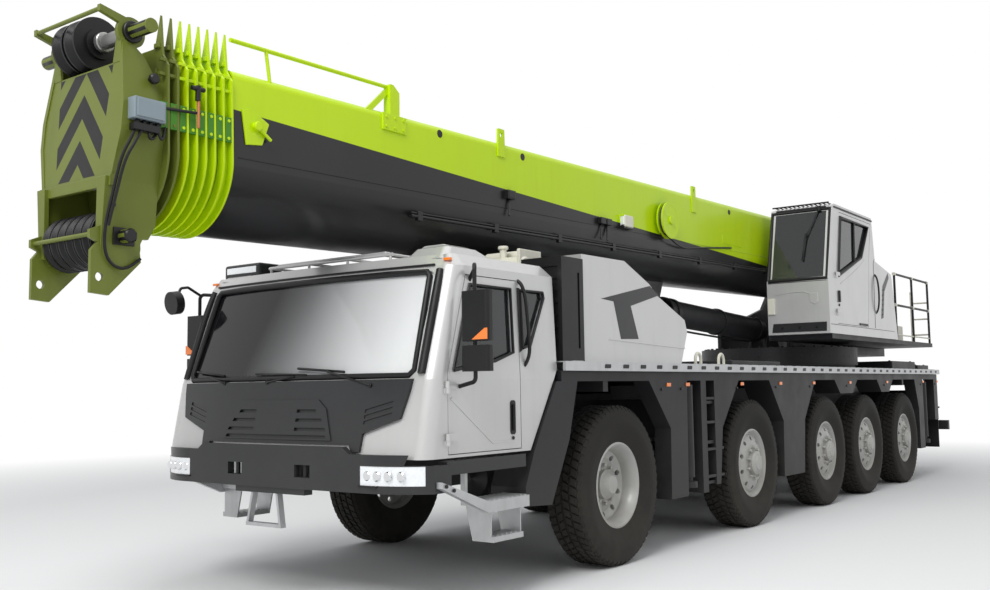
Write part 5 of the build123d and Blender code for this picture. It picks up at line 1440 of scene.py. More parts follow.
    def quarter_windows(self) -> None:
        """The panes and seals of the two quarter windows, and the grab bars beside them."""
        corners = ((1.110, 1.835), (1.215, 1.860), (1.430, 2.240), (1.420, 2.285), (1.110, 2.285),
                   (1.110, 1.835))
        for name, side in SIDES:
            pane = self.side_sheet(f"quarter_pane_{name}", side, corners[:-1], *self.pane_set)
            fit(pane, self.body, GLASS, "tinted_glass")
            seal = pipe("quarter_seal", [at(side * self.side_x(z), y, z) for y, z in corners], 0.013, 2,
                        curved=False)
            points = [at(side * 1.395, 1.09, 2.355), at(side * 1.452, 1.10, 2.33),
                      at(side * 1.466, 1.13, 1.98), at(side * 1.466, 1.148, 1.76),
                      at(side * 1.42, 1.13, 1.70)]
            grab = pipe("grab_bar", points, 0.014, 3)
            fit(join(f"quarter_trim_{name}", [seal, grab]), self.body, PLASTIC, "black_plastic")
            pillar = self.side_sheet("pillar", side,
                                     ((1.066, 1.80), (1.106, 1.82), (1.106, 2.30), (1.066, 2.30)), 0.001,
                                     0.004, 0.001)
            fit(pillar, self.body, PLASTIC, "black_plastic")

    def roof_gear(self) -> None:
        """The lamps and crowns on the roof, and the pale air tanks on their rack behind it."""
        lamps, cases = [], []
        for side in (-1, 1):
            cases.append(slab("crown",
                              front_view(side,
                                         ((0.92, 2.588), (1.20, 2.588), (1.14, 2.606), (0.96, 2.606))),
                              Axis.Y, station(0.50), station(0.76), 0.008))
            lamps.append(block("roof_lamp", at(side * 0.93, 0.452, 2.535), at(side * 1.19, 0.480, 2.568),
                               0.006))
            lamps.append(block("marker", at(side * 1.28, 0.335, 2.455), at(side * 1.34, 0.365, 2.475), 0.004))
        cases.append(block("light_bar", at(-0.62, 0.44, 2.572), at(0.62, 0.50, 2.592), 0.008))
        fit(join("roof_crowns", cases), self.body, SILVER, "silver_paint")
        fit(join("roof_lamps", lamps), self.body, AMBER, "lamp_lens")
        box = block("roof_box", at(-1.26, 0.40, 2.50), at(-0.80, 0.66, 2.628), 0.022)
        lens = block("roof_box_lens", at(-1.22, 0.394, 2.545), at(-0.84, 0.402, 2.60), 0.006)
        fit(box, self.body, CHARCOAL, "black_plastic")
        fit(lens, self.body, LENS, "lamp_lens")
        tanks = [cross_bar("tank", 0.68, 1.045, 1.72, 2.56, 0.085, 28, 0.02),
                 cross_bar("tank", 0.52, 0.96, 1.86, 2.66, 0.055, 24, 0.015),
                 bar("neck", at(0.80, 1.72, 2.63), at(0.80, 1.72, 2.72), 0.030, 16),
                 bar("cap", at(0.80, 1.72, 2.715), at(0.80, 1.72, 2.745), 0.045, 20, 0.006),
                 block("bracket", at(1.00, 1.64, 2.34), at(1.03, 1.96, 2.70), 0.006),
                 block("bracket", at(0.60, 1.64, 2.34), at(0.63, 1.96, 2.62), 0.006),
                 block("rack", at(0.45, 1.64, 2.30), at(1.045, 1.97, 2.345), 0.006),
                 block("rack_leg", at(0.50, 1.68, 1.745), at(0.56, 1.93, 2.31), 0.006)]
        fit(join("air_tanks", tanks), self.body, CREAM, "silver_paint")

    def bumper_gear(self) -> None:
        """Lamp cells and their frames, and the tow pins with their cheeks."""
        cells, rims, pins = [], [], []
        for side in (-1, 1):
            for x in (1.00, 1.09, 1.18, 1.27):
                y = -0.172 + (0.020 if x > 1.1 else 0.006) + (0.032 if x > 1.2 else 0.0)
                cells.append(bar("cell", at(side * x, y - 0.010, 0.945), at(side * x, y + 0.012, 0.945),
                                 0.034, 20, 0.006))
            rims.append(block("frame", at(side * 0.93, -0.186, 0.868), at(side * 1.10, -0.165, 0.880), 0.003))
            pins.append(bar("tow_pin", at(side * 0.374, -0.150, 0.905), at(side * 0.374, -0.150, 1.005),
                            0.018, 16))
            pins.append(block("tow_cheek", at(side * 0.300, -0.150, 0.915), at(side * 0.318, -0.02, 0.995),
                              0.003))
        fit(join("lamp_cells", cells), self.body, CHROME, "lamp_lens")
        fit(join("tow_pins", pins), self.body, STEEL, "black_steel")
        fit(join("lamp_frames", rims), self.body, PLASTIC, "black_plastic")

    def step_treads(self) -> None:
        """Raised ribs on the step treads and the bolts of their arms."""
        ribs, bolts = [], []
        for side in (-1, 1):
            for k in range(9):
                y = 0.575 + 0.055 * k
                ribs.append(block("rib", at(side * 1.270, y, 0.733), at(side * 1.485, y + 0.020, 0.741),
                                  0.002))
            for k in range(6):
                y = 0.630 + 0.055 * k
                ribs.append(block("rib", at(side * 1.330, y, 0.474), at(side * 1.470, y + 0.020, 0.481),
                                  0.002))
            for y, z in ((0.08, 0.875), (0.16, 0.842)):
                bolts.append(cross_bar("bolt", side * 1.498, side * 1.512, y, z, 0.014, 6))
        fit(join("step_ribs", ribs), self.body, ALLOY, "deck_alloy")
        fit(join("step_bolts", bolts), self.body, STEEL, "black_steel")

    def build(self) -> None:
        """Builds all of the carrier cab's trim."""
        self.screen_seal()
        self.wipers()
        self.door_gear()
        self.quarter_windows()
        self.roof_gear()
        self.bumper_gear()
        self.step_treads()


# ------------------------------------------------------------------ deck, hoods and skirts
@dataclass
class DeckTrim:
    """The deck's edge with painted shade for its slots, the lifting rings, boom rest, the hoods' flashes and
    the skirts' hardware.
    """

    body: str = "carrier"
    slot_pitch: float = 0.310

    def painted_slot_shade(self) -> None:
        """Painted shade: dark sheets along both edges of the deck where the edge strip has its slots."""
        for name, side in SIDES:
            outline = side_view(((2.20, 1.688), (2.29, 1.688), (2.30, 1.700), (2.30, 1.722), (2.21, 1.722),
                                 (2.20, 1.710)))
            # painted shade: each thin black sheet stands for the shade inside one slot
            slot = slab(f"painted_slot_shade_{name}", outline, Axis.X, side * 1.492, side * 1.5025, 0.0)
            shifts = [(0, self.slot_pitch * k, 0) for k in range(1, 36)]
            fit(row_of(slot, shifts), self.body, PLASTIC, "black_plastic")

    def rings(self) -> None:
        """Pale lifting rings that stand on the deck's edge."""
        made = []
        for y in (4.28, 4.83):
            for side in (-1, 1):
                points = [at(side * 1.36, y - 0.06, 1.742), at(side * 1.36, y - 0.07, 1.82),
                          at(side * 1.36, y, 1.872), at(side * 1.36, y + 0.07, 1.82),
                          at(side * 1.36, y + 0.06, 1.742)]
                made.append(pipe("ring", points, 0.016, 3))
        fit(join("lifting_rings", made), self.body, CREAM, "deck_alloy")

    def hood_flash(self) -> None:
        """The dark angular flash, the low ledge and the rear grille on each hood."""
        outline = [(2.295, 2.291), (3.178, 2.463), (3.351, 2.385), (2.808, 2.255), (2.940, 1.960),
                   (2.622, 1.951), (2.507, 2.278)]
        ledge = [(2.45, 1.955), (3.86, 1.905), (3.86, 1.890), (2.40, 1.938)]
        for name, side in SIDES:
            flash = slab("flash", side_view(outline), Axis.X, side * 1.4195, side * 1.4225, 0.001)
            fit(flash, self.body, CHARCOAL, "black_plastic").name = f"hood_flash_{name}"
            strip = slab("ledge", side_view(ledge), Axis.X, side * 1.419, side * 1.428, 0.003)
            fit(strip, self.body, SILVER, "silver_paint").name = f"hood_ledge_{name}"
            slats = []
            for k in range(9):
                y = 3.37 + 0.055 * k
                z = 2.372 - 0.0205 * k
                slats.append(block("slat", at(side * 0.70, y, z - 0.004),
                                   at(side * 1.36, y + 0.030, z + 0.010), 0.003))
            fit(join(f"hood_grille_{name}", slats), self.body, STEEL, "black_steel")

    def engine_gear(self) -> None:
        """The filter, cooler, ducts and lines between the two hoods, and the boom's rest."""
        made = [bar("filter", at(0.0, 2.30, 1.95), at(0.0, 3.25, 1.95), 0.20, 32, 0.03),
                block("cooler", at(-0.52, 3.35, 1.75), at(0.52, 3.62, 2.25), 0.02),
                pipe("duct", [at(0.20, 2.30, 1.95), at(0.42, 2.10, 2.05), at(0.45, 1.80, 2.20)], 0.06, 4),
                pipe("duct", [at(-0.20, 2.30, 1.95), at(-0.40, 2.10, 2.0), at(-0.45, 1.80, 2.1)], 0.05, 4)]
        for k in range(4):
            x = -0.45 + 0.1 * k
            made.append(pipe("line",
                             [at(x, 3.6, 1.79), at(x, 4.6, 1.79), at(x * 0.8, 6.4, 1.79),
                              at(x * 0.6, 7.9, 1.82)], 0.018, 2))
        fit(join("engine_gear", made), self.body, STEEL, "black_steel")
        rest = slab("boom_rest",
                    ((-0.42, 1.742), (0.42, 1.742), (0.34, 2.40), (0.24, 2.52), (0.14, 2.42), (-0.14, 2.42),
                     (-0.24, 2.52), (-0.34, 2.40)), Axis.Y, station(4.06), station(4.12), 0.01)
        fit(rest, self.body, CHASSIS, "dark_frame")

    def ladder_and_jacks(self) -> None:
        """Ladder rungs beside the second wheel, and the skirts' bolts and amber side markers."""
        rungs, bolts, lamps = [], [], []
        for side in (-1, 1):
            for z in (0.62, 0.89, 1.16, 1.40):
                rungs.append(block("rung", at(side * 1.30, 4.255, z - 0.014),
                                   at(side * 1.448, 4.64, z + 0.014), 0.005))
            for y in (3.30, 3.70, 5.0, 6.1, 7.2, 8.6, 10.3, 12.3, 13.2):
                bolts.append(cross_bar("bolt", side * 1.449, side * 1.461, y, 1.50, 0.014, 6))
                lamps.append(block("marker", at(side * 1.449, y + 0.10, 1.525),
                                   at(side * 1.459, y + 0.18, 1.560), 0.004))
        fit(join("ladder_rungs", rungs), self.body, CHASSIS, "dark_frame")
        fit(join("skirt_bolts", bolts), self.body, STEEL, "black_steel")
        fit(join("side_markers", lamps), self.body, AMBER, "lamp_lens")

    def build(self) -> None:
        """Builds all of the deck's and sides' trim."""
        self.painted_slot_shade()
        self.rings()
        self.hood_flash()
        self.engine_gear()
        self.ladder_and_jacks()


# ------------------------------------------------------------------ operator's cab
@dataclass
class OperatorCabTrim:
    """The operator's cab: frames, roof guard, door gear, sill grille, lamp, fairing vent and seat."""

    body: str = "superstructure"
    side_x: float = 1.445
    inner_x: float = 0.600
    front_y: float = 8.060
    screen_low: Pair = (8.072, 2.925)
    screen_top: Pair = (8.322, 3.885)
    sash_share: float = 0.62

    def front(self) -> None:
        """The sloping windscreen's frame, posts and wiper, and the seam, pressing and lamp below it."""
        (y0, z0), (y1, z1) = self.screen_low, self.screen_top
        x0, x1 = self.inner_x + 0.022, self.side_x - 0.022
        ring = [at(x0, y0, z0), at(x1, y0, z0), at(x1, y1, z1), at(x0, y1, z1), at(x0, y0, z0)]
        frame_bar = pipe("frame", ring, 0.030, 2, curved=False)
        wiper = [bar("arm", at(1.28, 8.30, 3.89), at(1.10, 8.17, 3.45), 0.009, 8),
                 bar("blade", at(1.12, 8.19, 3.56), at(1.09, 8.105, 3.18), 0.011, 8),
                 bar("motor", at(1.28, 8.30, 3.86), at(1.28, 8.30, 3.93), 0.03, 14, 0.004)]
        sash = cross_bar("sash", x0, x0 + 0.02, y0 + self.sash_share * (y1 - y0) - 0.012,
                         z0 + self.sash_share * (z1 - z0), 0.01, 8)
        fit(join("operator_screen_frame", [frame_bar, sash, *wiper]), self.body, PLASTIC, "black_plastic")
        post = [slab("post", side_view(((8.052, 2.92), (8.062, 2.90), (8.335, 3.915), (8.318, 3.92))),
                     Axis.X, x, x + 0.030, 0.004) for x in (self.inner_x + 0.001, self.side_x - 0.031)]
        fit(join("operator_screen_posts", post), self.body, SILVER, "silver_paint")
        seam = cross_bar("seam", self.inner_x + 0.02, self.side_x - 0.02, self.front_y - 0.001, 2.895,
                         0.004, 6)
        fit(seam, self.body, PLASTIC, "black_plastic").name = "operator_front_seam"
        crease = slab("crease",
                      [(0.70, 2.735), (0.92, 2.765), (1.12, 2.765), (1.19, 2.735), (1.19, 2.727),
                       (1.11, 2.755), (0.92, 2.755), (0.70, 2.727)], Axis.Y, station(8.052), station(8.061),
                      0.002)
        plate = slab("plate", [(1.19, 2.62), (1.245, 2.585), (1.30, 2.62), (1.30, 2.735), (1.19, 2.735)],
                     Axis.Y, station(8.050), station(8.061), 0.004)
        fit(join("operator_front_pressing", [crease, plate]), self.body, SILVER, "silver_paint")
        lamp = block("lamp", at(self.inner_x + 0.012, self.front_y - 0.035, 2.47),
                     at(self.inner_x + 0.110, self.front_y + 0.004, 2.69), 0.008)
        fit(lamp, self.body, CREAM, "lamp_lens").name = "operator_front_lamp"

    def sill(self) -> None:
        """The dark grille slot below the front, with its bolts."""
        outline = [(self.inner_x + 0.055, 2.225), (1.400, 2.225), (1.405, 2.345),
                   (self.inner_x + 0.075, 2.345)]
        slot = slab("slot", outline, Axis.Y, station(8.050), station(8.061), 0.004)
        fit(slot, self.body, CHASSIS, "black_plastic").name = "operator_sill"
        bolts = [bar("bolt", at(x, 8.040, 2.285), at(x, 8.052, 2.285), 0.018, 6) for x in (0.80, 1.04, 1.27)]
        fit(join("operator_sill_bolts", bolts), self.body, STEEL, "black_steel")

    def roof(self) -> None:
        """The slatted guard over the roof, the gutter, the screen's upper seal and the roof hatch."""
        slats = []
        for k in range(13):
            x = self.inner_x + 0.055 + 0.060 * k
            slats.append(bar("slat", at(x, 8.30, 3.972), at(x, 9.25, 3.972), 0.0085, 8))
        for y in (8.30, 8.78, 9.25):
            slats.append(cross_bar("rail", self.inner_x + 0.03, self.side_x - 0.03, y, 3.968, 0.011, 8))
        fit(join("roof_guard", slats), self.body, PLASTIC, "black_plastic")
        caps = [slab("gutter", side_view(((8.40, 3.905), (10.06, 3.905), (10.06, 3.928), (8.40, 3.928))),
                     Axis.X, self.side_x - 0.001, self.side_x + 0.010, 0.003),
                block("seal", at(0.68, 8.295, 3.898), at(1.37, 8.332, 3.925), 0.004)]
        fit(join("operator_gutters", caps), self.body, PLASTIC, "black_plastic")
        hatch = block("hatch", at(0.72, 9.32, 3.955), at(1.34, 9.90, 3.975), 0.008)
        fit(hatch, self.body, CHARCOAL, "black_plastic").name = "operator_roof_hatch"

    def door(self) -> None:
        """The operator's door: its pane and seal, sash, handle, lock, stop and crease."""
        corners = [(8.46, 2.98), (9.48, 3.32), (9.84, 3.80), (8.64, 3.80)]
        pane = slab("operator_door_pane", side_view(corners), Axis.X, 1.420, 1.426, 0.0)
        fit(pane, "operator_door", GLASS, "tinted_glass")
        ring = [at(self.side_x - 0.002, y, z) for y, z in [*corners, corners[0]]]
        seal = pipe("seal", ring, 0.026, 2, curved=False)
        bar_seal = bar("sash", at(self.side_x - 0.008, 9.20, 3.235), at(self.side_x - 0.008, 9.24, 3.80),
                       0.015, 10)
        handle = block("handle", at(self.side_x - 0.004, 8.435, 2.62), at(self.side_x + 0.022, 8.485, 2.78),
                       0.010)
        lock = cross_bar("lock", self.side_x - 0.004, self.side_x + 0.008, 8.46, 2.585, 0.018, 16)
        stop = block("stop", at(self.side_x - 0.004, 9.30, 2.345), at(self.side_x + 0.010, 9.66, 2.375),
                     0.004)
        fit(join("operator_door_trim", [seal, bar_seal, handle, lock, stop]), "operator_door", PLASTIC,
            "black_plastic")
        groove = [at(self.side_x - 0.0025, y, z) for y, z in ((8.56, 2.88), (9.45, 3.18), (9.62, 3.30))]
        fit(pipe("operator_door_crease", groove, 0.006, 2), "operator_door", SILVER, "silver_paint")

    def rear(self) -> None:
        """The fairing behind the door: its slanted vent and slats, its seams and its grab bar."""
        vent = [(10.33, 2.48), (10.44, 2.50), (10.54, 2.90), (10.80, 3.13), (10.76, 3.20), (10.47, 2.98)]
        slot = slab("vent", side_view(vent), Axis.X, self.side_x - 0.001, self.side_x + 0.003, 0.001)
        fit(slot, self.body, CHARCOAL, "black_plastic").name = "fairing_vent"
        slats = [bar("slat", at(self.side_x + 0.004, 10.36 + 0.018 * k, 2.54 + 0.075 * k),
                     at(self.side_x + 0.004, 10.44 + 0.018 * k, 2.56 + 0.075 * k), 0.006, 6)
                 for k in range(6)]
        fit(join("vent_slats", slats), self.body, PLASTIC, "black_plastic")
        seams = [pipe("seam", [at(self.side_x + 0.0005, y, z) for y, z in route], 0.0035, 2, curved=False)
                 for route in (((10.02, 2.33), (10.06, 3.30), (10.12, 3.36)),
                               ((8.10, 2.315), (10.98, 2.315)))]
        fit(join("fairing_seams", seams), self.body, PLASTIC, "black_plastic")
        grab = pipe("fairing_grab",
                    [at(self.side_x - 0.01, 10.10, 2.55), at(self.side_x + 0.05, 10.10, 2.58),
                     at(self.side_x + 0.05, 10.10, 3.10), at(self.side_x - 0.01, 10.10, 3.13)], 0.013, 3)
        fit(grab, self.body, PLASTIC, "black_plastic")

    def inside(self) -> None:
        """The operator's seat, consoles and screen behind the glass."""
        seat = [block("cushion", at(0.80, 8.95, 2.72), at(1.26, 9.45, 2.86), 0.04),
                block("back", at(0.80, 9.40, 2.80), at(1.26, 9.54, 3.52), 0.05),
                block("base", at(0.88, 9.00, 2.25), at(1.18, 9.38, 2.74), 0.01),
                block("console", at(0.67, 8.75, 2.70), at(0.78, 9.30, 2.98), 0.02),
                block("console", at(1.28, 8.75, 2.70), at(1.38, 9.30, 2.95), 0.02),
                bar("lever", at(0.725, 8.85, 2.97), at(0.725, 8.82, 3.12), 0.014, 12, 0.004),
                bar("lever", at(1.33, 8.85, 2.94), at(1.33, 8.82, 3.09), 0.014, 12, 0.004),
                block("display", at(0.68, 8.42, 3.05), at(0.72, 8.66, 3.26), 0.008)]
        fit(join("operator_seat", seat), self.body, PLASTIC, "black_plastic")

    def build(self) -> None:
        """Builds all of the operator's cab's trim."""
        self.front()
        self.sill()
        self.roof()
        self.door()
        self.rear()
        self.inside()


# ------------------------------------------------------------------ turntable, winch and boom foot
@dataclass
class TurntableTrim:
    """The slewing ring's bolts, the winch's rope, the pipes behind the cab and the cylinder's bands."""

    body: str = "superstructure"
    slew_y: float = 9.900
    winch_y: float = 12.780
    winch_z: float = 2.680
    drum_radius: float = 0.260
    rope_radius: float = 0.011
    rope_start: float = -0.415
    rope_turns: int = 34
    rope_pitch: float = 0.0245
    rope_steps: int = 16
    pivot_y: float = 11.50
    pivot_z: float = 3.33
    bolt_circle: float = 1.085
    ring_radius: float = 1.140
    cylinder_foot: Pair = (9.250, 2.330)
    cylinder_head: Pair = (5.600, 2.480)

    def ring_bolts(self) -> None:
        """Bolts that hold the turntable to the slewing ring, and the studs round the ring's side."""
        front = self.slew_y - self.bolt_circle
        bolt = bar("ring_bolts", at(0, front, 2.058), at(0, front, 2.080), 0.024, 6)
        centre = Vector(at(0, self.slew_y, 2.06))
        bolts = ring_of(bolt, 44, Axis.Z, centre)
        fit(bolts, self.body, STEEL, "black_steel")
        front = self.slew_y - self.ring_radius
        side = bar("ring_studs", at(0, front - 0.012, 1.93), at(0, front, 1.93), 0.020, 6)
        fit(ring_of(side, 48, Axis.Z, centre), "carrier", STEEL, "black_steel")

    def rope(self) -> None:
        """One layer of rope, wound along the winch drum."""
        radius = self.drum_radius + self.rope_radius
        points = []
        for k in range(self.rope_turns * self.rope_steps):
            angle = 2 * pi * k / self.rope_steps
            x = self.rope_start + self.rope_pitch * k / self.rope_steps
            points.append((x, station(self.winch_y) + radius * cos(angle),
                           self.winch_z + radius * sin(angle)))
        fit(pipe("winch_rope", points, self.rope_radius, 1), "winch_drum", ROPE, "black_steel")

    def pipes(self) -> None:
        """Pale pipes, valve blocks and a ladder behind the operator's cab."""
        pale, dark = [], []
        for k in range(5):
            x = 0.62 + 0.055 * k
            pale.append(pipe("line",
                             [at(x, 11.28, 2.22), at(x, 11.30, 2.75 + 0.05 * k),
                              at(x - 0.02, 11.5, 2.95 + 0.04 * k), at(x - 0.03, 12.3, 3.02 + 0.03 * k),
                              at(x - 0.06, 13.0, 2.90)], 0.016, 2))
        pale.append(block("valve", at(0.60, 11.55, 2.22), at(0.95, 12.05, 2.62), 0.012))
        pale.append(block("valve", at(0.62, 12.30, 2.22), at(1.10, 12.72, 2.48), 0.012))
        for z in (2.35, 2.62, 2.90):
            pale.append(cross_bar("rung", 1.10, 1.38, 13.30, z, 0.014, 10))
        for x in (1.10, 1.38):
            pale.append(bar("rail", at(x, 13.30, 2.20), at(x, 13.30, 3.10), 0.016, 10))
        dark.append(cross_bar("motor", 0.556, 0.80, self.winch_y, self.winch_z, 0.15, 28, 0.02))
        dark.append(bar("port", at(0.70, self.winch_y, self.winch_z + 0.12),
                        at(0.70, self.winch_y, self.winch_z + 0.26), 0.045, 16))
        dark.append(block("tank", at(0.60, 10.98, 2.22), at(1.05, 11.24, 2.80), 0.02))
        fit(join("hydraulic_lines", pale), self.body, CREAM, "deck_alloy")
        fit(join("winch_motor", dark), self.body, STEEL, "black_steel")
        toe = [bar("toe", at(1.39, 11.30, 2.28), at(1.39, 13.25, 2.28), 0.012, 8)]
        toe += [bar("clamp", at(1.39, y - 0.03, z), at(1.39, y + 0.03, z), 0.026, 12)
                for y in (11.30, 12.27, 13.22) for z in (2.75, 3.24)]
        fit(join("rail_clamps", toe), self.body, CREAM, "deck_alloy")

    def cheeks(self) -> None:
        """Pin caps and stiffeners on the turntable's cheeks."""
        made = []
        for side in (-1, 1):
            x = side * 0.555
            made.append(cross_bar("pin_cap", x, side * 0.585, self.pivot_y, self.pivot_z, 0.135, 36, 0.012))
            cap = cross_bar("bolt", side * 0.585, side * 0.597, self.pivot_y + 0.10, self.pivot_z, 0.014, 6)
            made.append(ring_of(cap, 8, Axis.X, Vector(at(side * 0.59, self.pivot_y, self.pivot_z))))
            made.append(cross_bar("winch_cap", x, side * 0.575, self.winch_y, self.winch_z, 0.115, 32, 0.010))
            for (y0, z0), (y1, z1) in (((9.10, 2.27), (10.58, 2.70)), ((10.66, 2.76), (11.20, 3.22)),
                                       ((12.30, 3.03), (13.10, 2.98))):
                made.append(bar("rib", at(x + side * 0.006, y0, z0), at(x + side * 0.006, y1, z1), 0.016, 8))
        fit(join("cheek_caps", made), self.body, CHASSIS, "dark_frame")

    def cylinder(self) -> None:
        """The bands round the lift cylinder, and its feed pipe."""
        foot = Vector(at(0, *self.cylinder_foot))
        head = Vector(at(0, *self.cylinder_head))
        along = (head - foot).normalized()
        up = Vector((0, -along.z, along.y))
        made = []
        for distance, width in ((0.32, 0.05), (1.55, 0.04), (2.90, 0.09), (3.08, 0.07)):
            a = foot + along * distance
            b = foot + along * (distance + width)
            made.append(bar("band", tuple(a), tuple(b), 0.183, 40, 0.006))
        line = [tuple(foot + along * d + up * h) for d,
                h in ((0.35, 0.165), (0.42, 0.205), (1.5, 0.205), (2.85, 0.205), (2.95, 0.165))]
        made.append(pipe("feed", line, 0.014, 2))
        fit(join("cylinder_bands", made), "lift_barrel", STEEL, "black_steel")

    def build(self) -> None:
        """Builds the turntable's, winch's and cylinder's trim."""
        self.ring_bolts()
        self.rope()
        self.pipes()
        self.cheeks()
        self.cylinder()


# ------------------------------------------------------------------ chassis and rear
@dataclass
class ChassisTrim:
    """The deck's covers and treads, the tail lamps and flaps, and the drive line and tanks below."""

    body: str = "carrier"
    axles: Sequence[float] = (2.493, 5.394, 7.751, 9.414, 11.272)
    shaft_height: float = 0.70

    def deck_plates(self) -> None:
        """Raised dark covers along the deck beside and behind the slewing ring, with their bolts."""
        covers, bolts = [], []
        for side in (-1, 1):
            for y0, y1, z in ((5.15, 6.55, 1.80), (11.15, 12.45, 1.87), (12.60, 13.28, 1.82)):
                covers.append(block("cover", at(side * 0.62, y0, 1.742), at(side * 1.34, y1, z), 0.012))
                bolts += [bar("bolt", at(side * x, y, z), at(side * x, y, z + 0.012), 0.016, 6)
                          for x in (0.68, 1.28) for y in (y0 + 0.07, y1 - 0.07)]
        fit(join("deck_covers", covers), self.body, CHASSIS, "dark_frame")
        fit(join("deck_bolts", bolts), self.body, STEEL, "black_steel")
        treads = []
        for side in (-1, 1):
            for k in range(44):
                y = 1.75 + 0.26 * k
                if not (1.9 < y < 3.95) and y < 13.2:
                    treads.append(block("tread", at(side * 1.36, y, 1.7415),
                                        at(side * 1.47, y + 0.16, 1.7475), 0.0))
        fit(join("deck_treads", treads), self.body, ALLOY, "deck_alloy")

    def tail(self) -> None:
        """Tail lamps in their boxes, the rear flaps and a bare plate."""
        reds, ambers, dark = [], [], []
        for side in (-1, 1):
            dark.append(block("lamp_box", at(side * 0.92, 14.098, 0.72), at(side * 1.32, 14.150, 0.86),
                              0.008))
            reds += [bar("red", at(side * x, 14.150, 0.79), at(side * x, 14.166, 0.79), 0.044, 24, 0.006)
                     for x in (0.98, 1.10)]
            ambers.append(bar("amber", at(side * 1.24, 14.150, 0.79), at(side * 1.24, 14.166, 0.79), 0.044,
                              24, 0.006))
            dark.append(block("flap", at(side * 0.98, 13.50, 0.42), at(side * 1.40, 13.515, 1.10), 0.002))
            dark.append(cross_bar("flap_rod", side * 0.94, side * 1.43, 13.507, 1.10, 0.014, 10))
        dark.append(block("plate", at(-0.26, 14.099, 0.70), at(0.26, 14.112, 0.82), 0.003))
        fit(join("tail_boxes", dark), self.body, PLASTIC, "black_plastic")
        fit(join("tail_red", reds), self.body, RED, "lamp_lens")
        fit(join("tail_amber", ambers), self.body, AMBER, "lamp_lens")

    def under(self) -> None:
        """Drive shafts, differentials and air tanks under the frame."""
        made, tanks = [], []
        for front, rear in zip(self.axles, self.axles[1:]):
            made.append(bar("shaft", at(0, front + 0.24, self.shaft_height),
                            at(0, rear - 0.24, self.shaft_height), 0.055, 20))
            made.append(bar("joint", at(0, front + 0.20, self.shaft_height),
                            at(0, front + 0.32, self.shaft_height), 0.085, 16, 0.01))
            made.append(bar("joint", at(0, rear - 0.32, self.shaft_height),
                            at(0, rear - 0.20, self.shaft_height), 0.085, 16, 0.01))
        for axle in self.axles:
            made.append(lathe("diff",
                              [(0.004, -0.24), (0.16, -0.20), (0.24, -0.06), (0.24, 0.06), (0.16, 0.20),
                               (0.004, 0.24)], Axis.Y, Vector(at(0, axle, self.shaft_height)), 28))
        for y in (5.95, 6.60):
            for side in (-1, 1):
                tanks.append(bar("tank", at(side * 0.62, y - 0.28, 1.18), at(side * 0.62, y + 0.28, 1.18),
                                 0.13, 28, 0.03))
        fit(join("drive_line", made), self.body, STEEL, "black_steel")
        fit(join("air_tanks_low", tanks), self.body, CHASSIS, "dark_frame")

    def build(self) -> None:
        """Builds the chassis's trim."""
        self.deck_plates()
        self.tail()
        self.under()


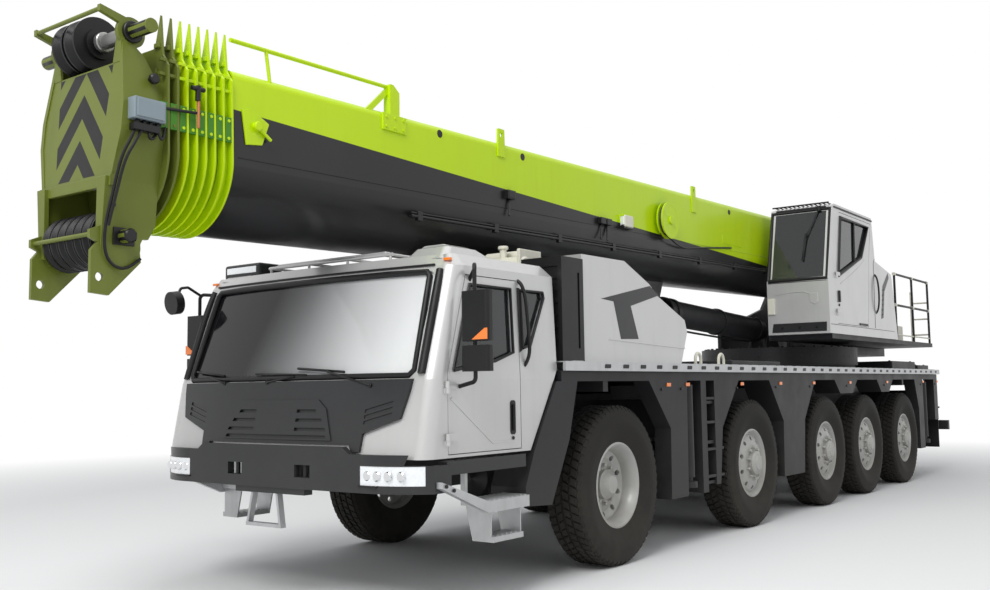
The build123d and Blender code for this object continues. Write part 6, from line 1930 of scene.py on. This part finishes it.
# ------------------------------------------------------------------ studio
@dataclass
class Studio:
    """A plain pale floor, soft lamps and the camera at the crane's front left corner."""

    floor_half: float = 60.0
    lens: float = 37.18
    eye: Triple = (5.966, -11.4685, 1.531)
    yaw: float = -0.643
    pitch: float = 0.091
    roll: float = -0.014
    world_strength: float = 0.55
    floor_near: float = 9.0
    floor_far: float = 17.0

    def camera(self) -> None:
        """Places the camera and makes it the scene's own."""
        camera = bpy.data.cameras.new("camera")
        camera.lens, camera.sensor_width, camera.clip_end = self.lens, 36.0, 300.0
        holder = bpy.data.objects.new("camera", camera)
        bpy.context.scene.collection.objects.link(holder)
        ahead = Vector((sin(self.yaw) * cos(self.pitch), cos(self.yaw) * cos(self.pitch), sin(self.pitch)))
        right = ahead.cross(Vector((0, 0, 1))).normalized()
        turned = right * cos(self.roll) + right.cross(ahead) * sin(self.roll)
        pose = Matrix((turned, turned.cross(ahead), -ahead)).transposed().to_4x4()
        pose.translation = Vector(self.eye)
        holder.matrix_world = pose
        bpy.context.scene.camera = holder

    def floor(self) -> None:
        """A pale floor that turns white to the camera away from the crane and keeps the crane's shadow."""
        bpy.ops.object.select_all(action="DESELECT")
        bpy.ops.mesh.primitive_plane_add(size=2 * self.floor_half, location=(0, 0, 0))
        plane = bpy.context.object
        plane.name = "studio_floor"
        made = bpy.data.materials.new("studio_floor")
        made.use_nodes = True
        w = Wiring(made.node_tree)
        shader = made.node_tree.nodes["Principled BSDF"]
        shader.inputs["Base Color"].default_value = (0.88, 0.88, 0.88, 1)
        shader.inputs["Roughness"].default_value = 0.9
        shader.inputs["Specular IOR Level"].default_value = 0.0
        white = w.add("ShaderNodeEmission")
        x, y, _ = w.xyz(w.add("ShaderNodeTexCoord").outputs["Object"])
        far = w.math("SQRT", w.math("ADD", w.math("MULTIPLY", x, x), w.math("MULTIPLY", y, y)))
        away = w.fade(far, self.floor_near, self.floor_far)
        seen = self.seen(w)
        mix = w.add("ShaderNodeMixShader")
        w.put(w.math("MULTIPLY", away, seen), mix.inputs[0])
        w.put(shader.outputs[0], mix.inputs[1])
        w.put(white.outputs[0], mix.inputs[2])
        w.put(mix.outputs[0], made.node_tree.nodes["Material Output"].inputs["Surface"])
        plane.data.materials.append(made)

    @staticmethod
    def seen(w: Wiring) -> object:
        """1 for rays from the camera, from mirrors and through glass.

        Args:
            w: the wiring of the tree.

        Returns:
            The value's output.
        """
        path = w.add("ShaderNodeLightPath").outputs
        either = w.math("MAXIMUM", path["Is Camera Ray"], path["Is Glossy Ray"])
        return w.math("MAXIMUM", either, path["Is Transmission Ray"])

    def world(self) -> None:
        """White to the camera, soft white light to the crane."""
        world = bpy.data.worlds.new("studio")
        bpy.context.scene.world = world
        world.use_nodes = True
        w = Wiring(world.node_tree)
        light = world.node_tree.nodes["Background"]
        light.inputs["Color"].default_value = (0.96, 0.98, 1.0, 1)
        light.inputs["Strength"].default_value = self.world_strength
        white = w.add("ShaderNodeBackground")
        white.inputs["Color"].default_value = (1, 1, 1, 1)
        mix = w.add("ShaderNodeMixShader")
        w.put(self.seen(w), mix.inputs[0])
        w.put(light.outputs[0], mix.inputs[1])
        w.put(white.outputs[0], mix.inputs[2])
        w.put(mix.outputs[0], world.node_tree.nodes["World Output"].inputs["Surface"])

    def lamp(self, name: str, place: Triple, target: Triple, size: float, power: float) -> None:
        """A soft square lamp that looks at a target.

        Args:
            name: the lamp's name.
            place: where it stands.
            target: the place that it looks at.
            size: the length of its side.
            power: its power in watts.
        """
        lamp = bpy.data.lights.new(name, "AREA")
        lamp.shape, lamp.size, lamp.energy = "SQUARE", size, power
        holder = bpy.data.objects.new(name, lamp)
        bpy.context.scene.collection.objects.link(holder)
        holder.location = place
        holder.rotation_mode = "QUATERNION"
        holder.rotation_quaternion = (Vector(target) - Vector(place)).to_track_quat("-Z", "Y")

    def build(self) -> None:
        """Makes the floor, the world, the lamps and the camera."""
        bpy.context.scene.view_settings.view_transform = "Standard"
        self.floor()
        self.world()
        self.lamp("key_lamp", (3.5, -14.5, 12.0), (0.0, -1.0, 1.5), 7.0, 1450.0)
        self.lamp("side_lamp", (13.0, 2.0, 7.0), (0.0, 1.0, 1.6), 8.0, 90.0)
        self.lamp("top_lamp", (0.0, 0.0, 13.0), (0.0, 0.0, 0.0), 10.0, 220.0)
        self.camera()


ASSEMBLIES = (Wheels, BoomHeadTrim, CollarTrim, BoomTrim, CarrierCabTrim, DeckTrim, OperatorCabTrim,
              TurntableTrim, ChassisTrim)


def main() -> None:
    """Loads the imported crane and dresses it."""
    logging.basicConfig(level=logging.INFO, format="%(name)s: %(message)s")
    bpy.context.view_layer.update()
    PackedFinishes().build(frame["nodes"])
    for assembly in ASSEMBLIES:
        assembly().build()
    Studio().build()


if __name__ == "__main__":
    main()
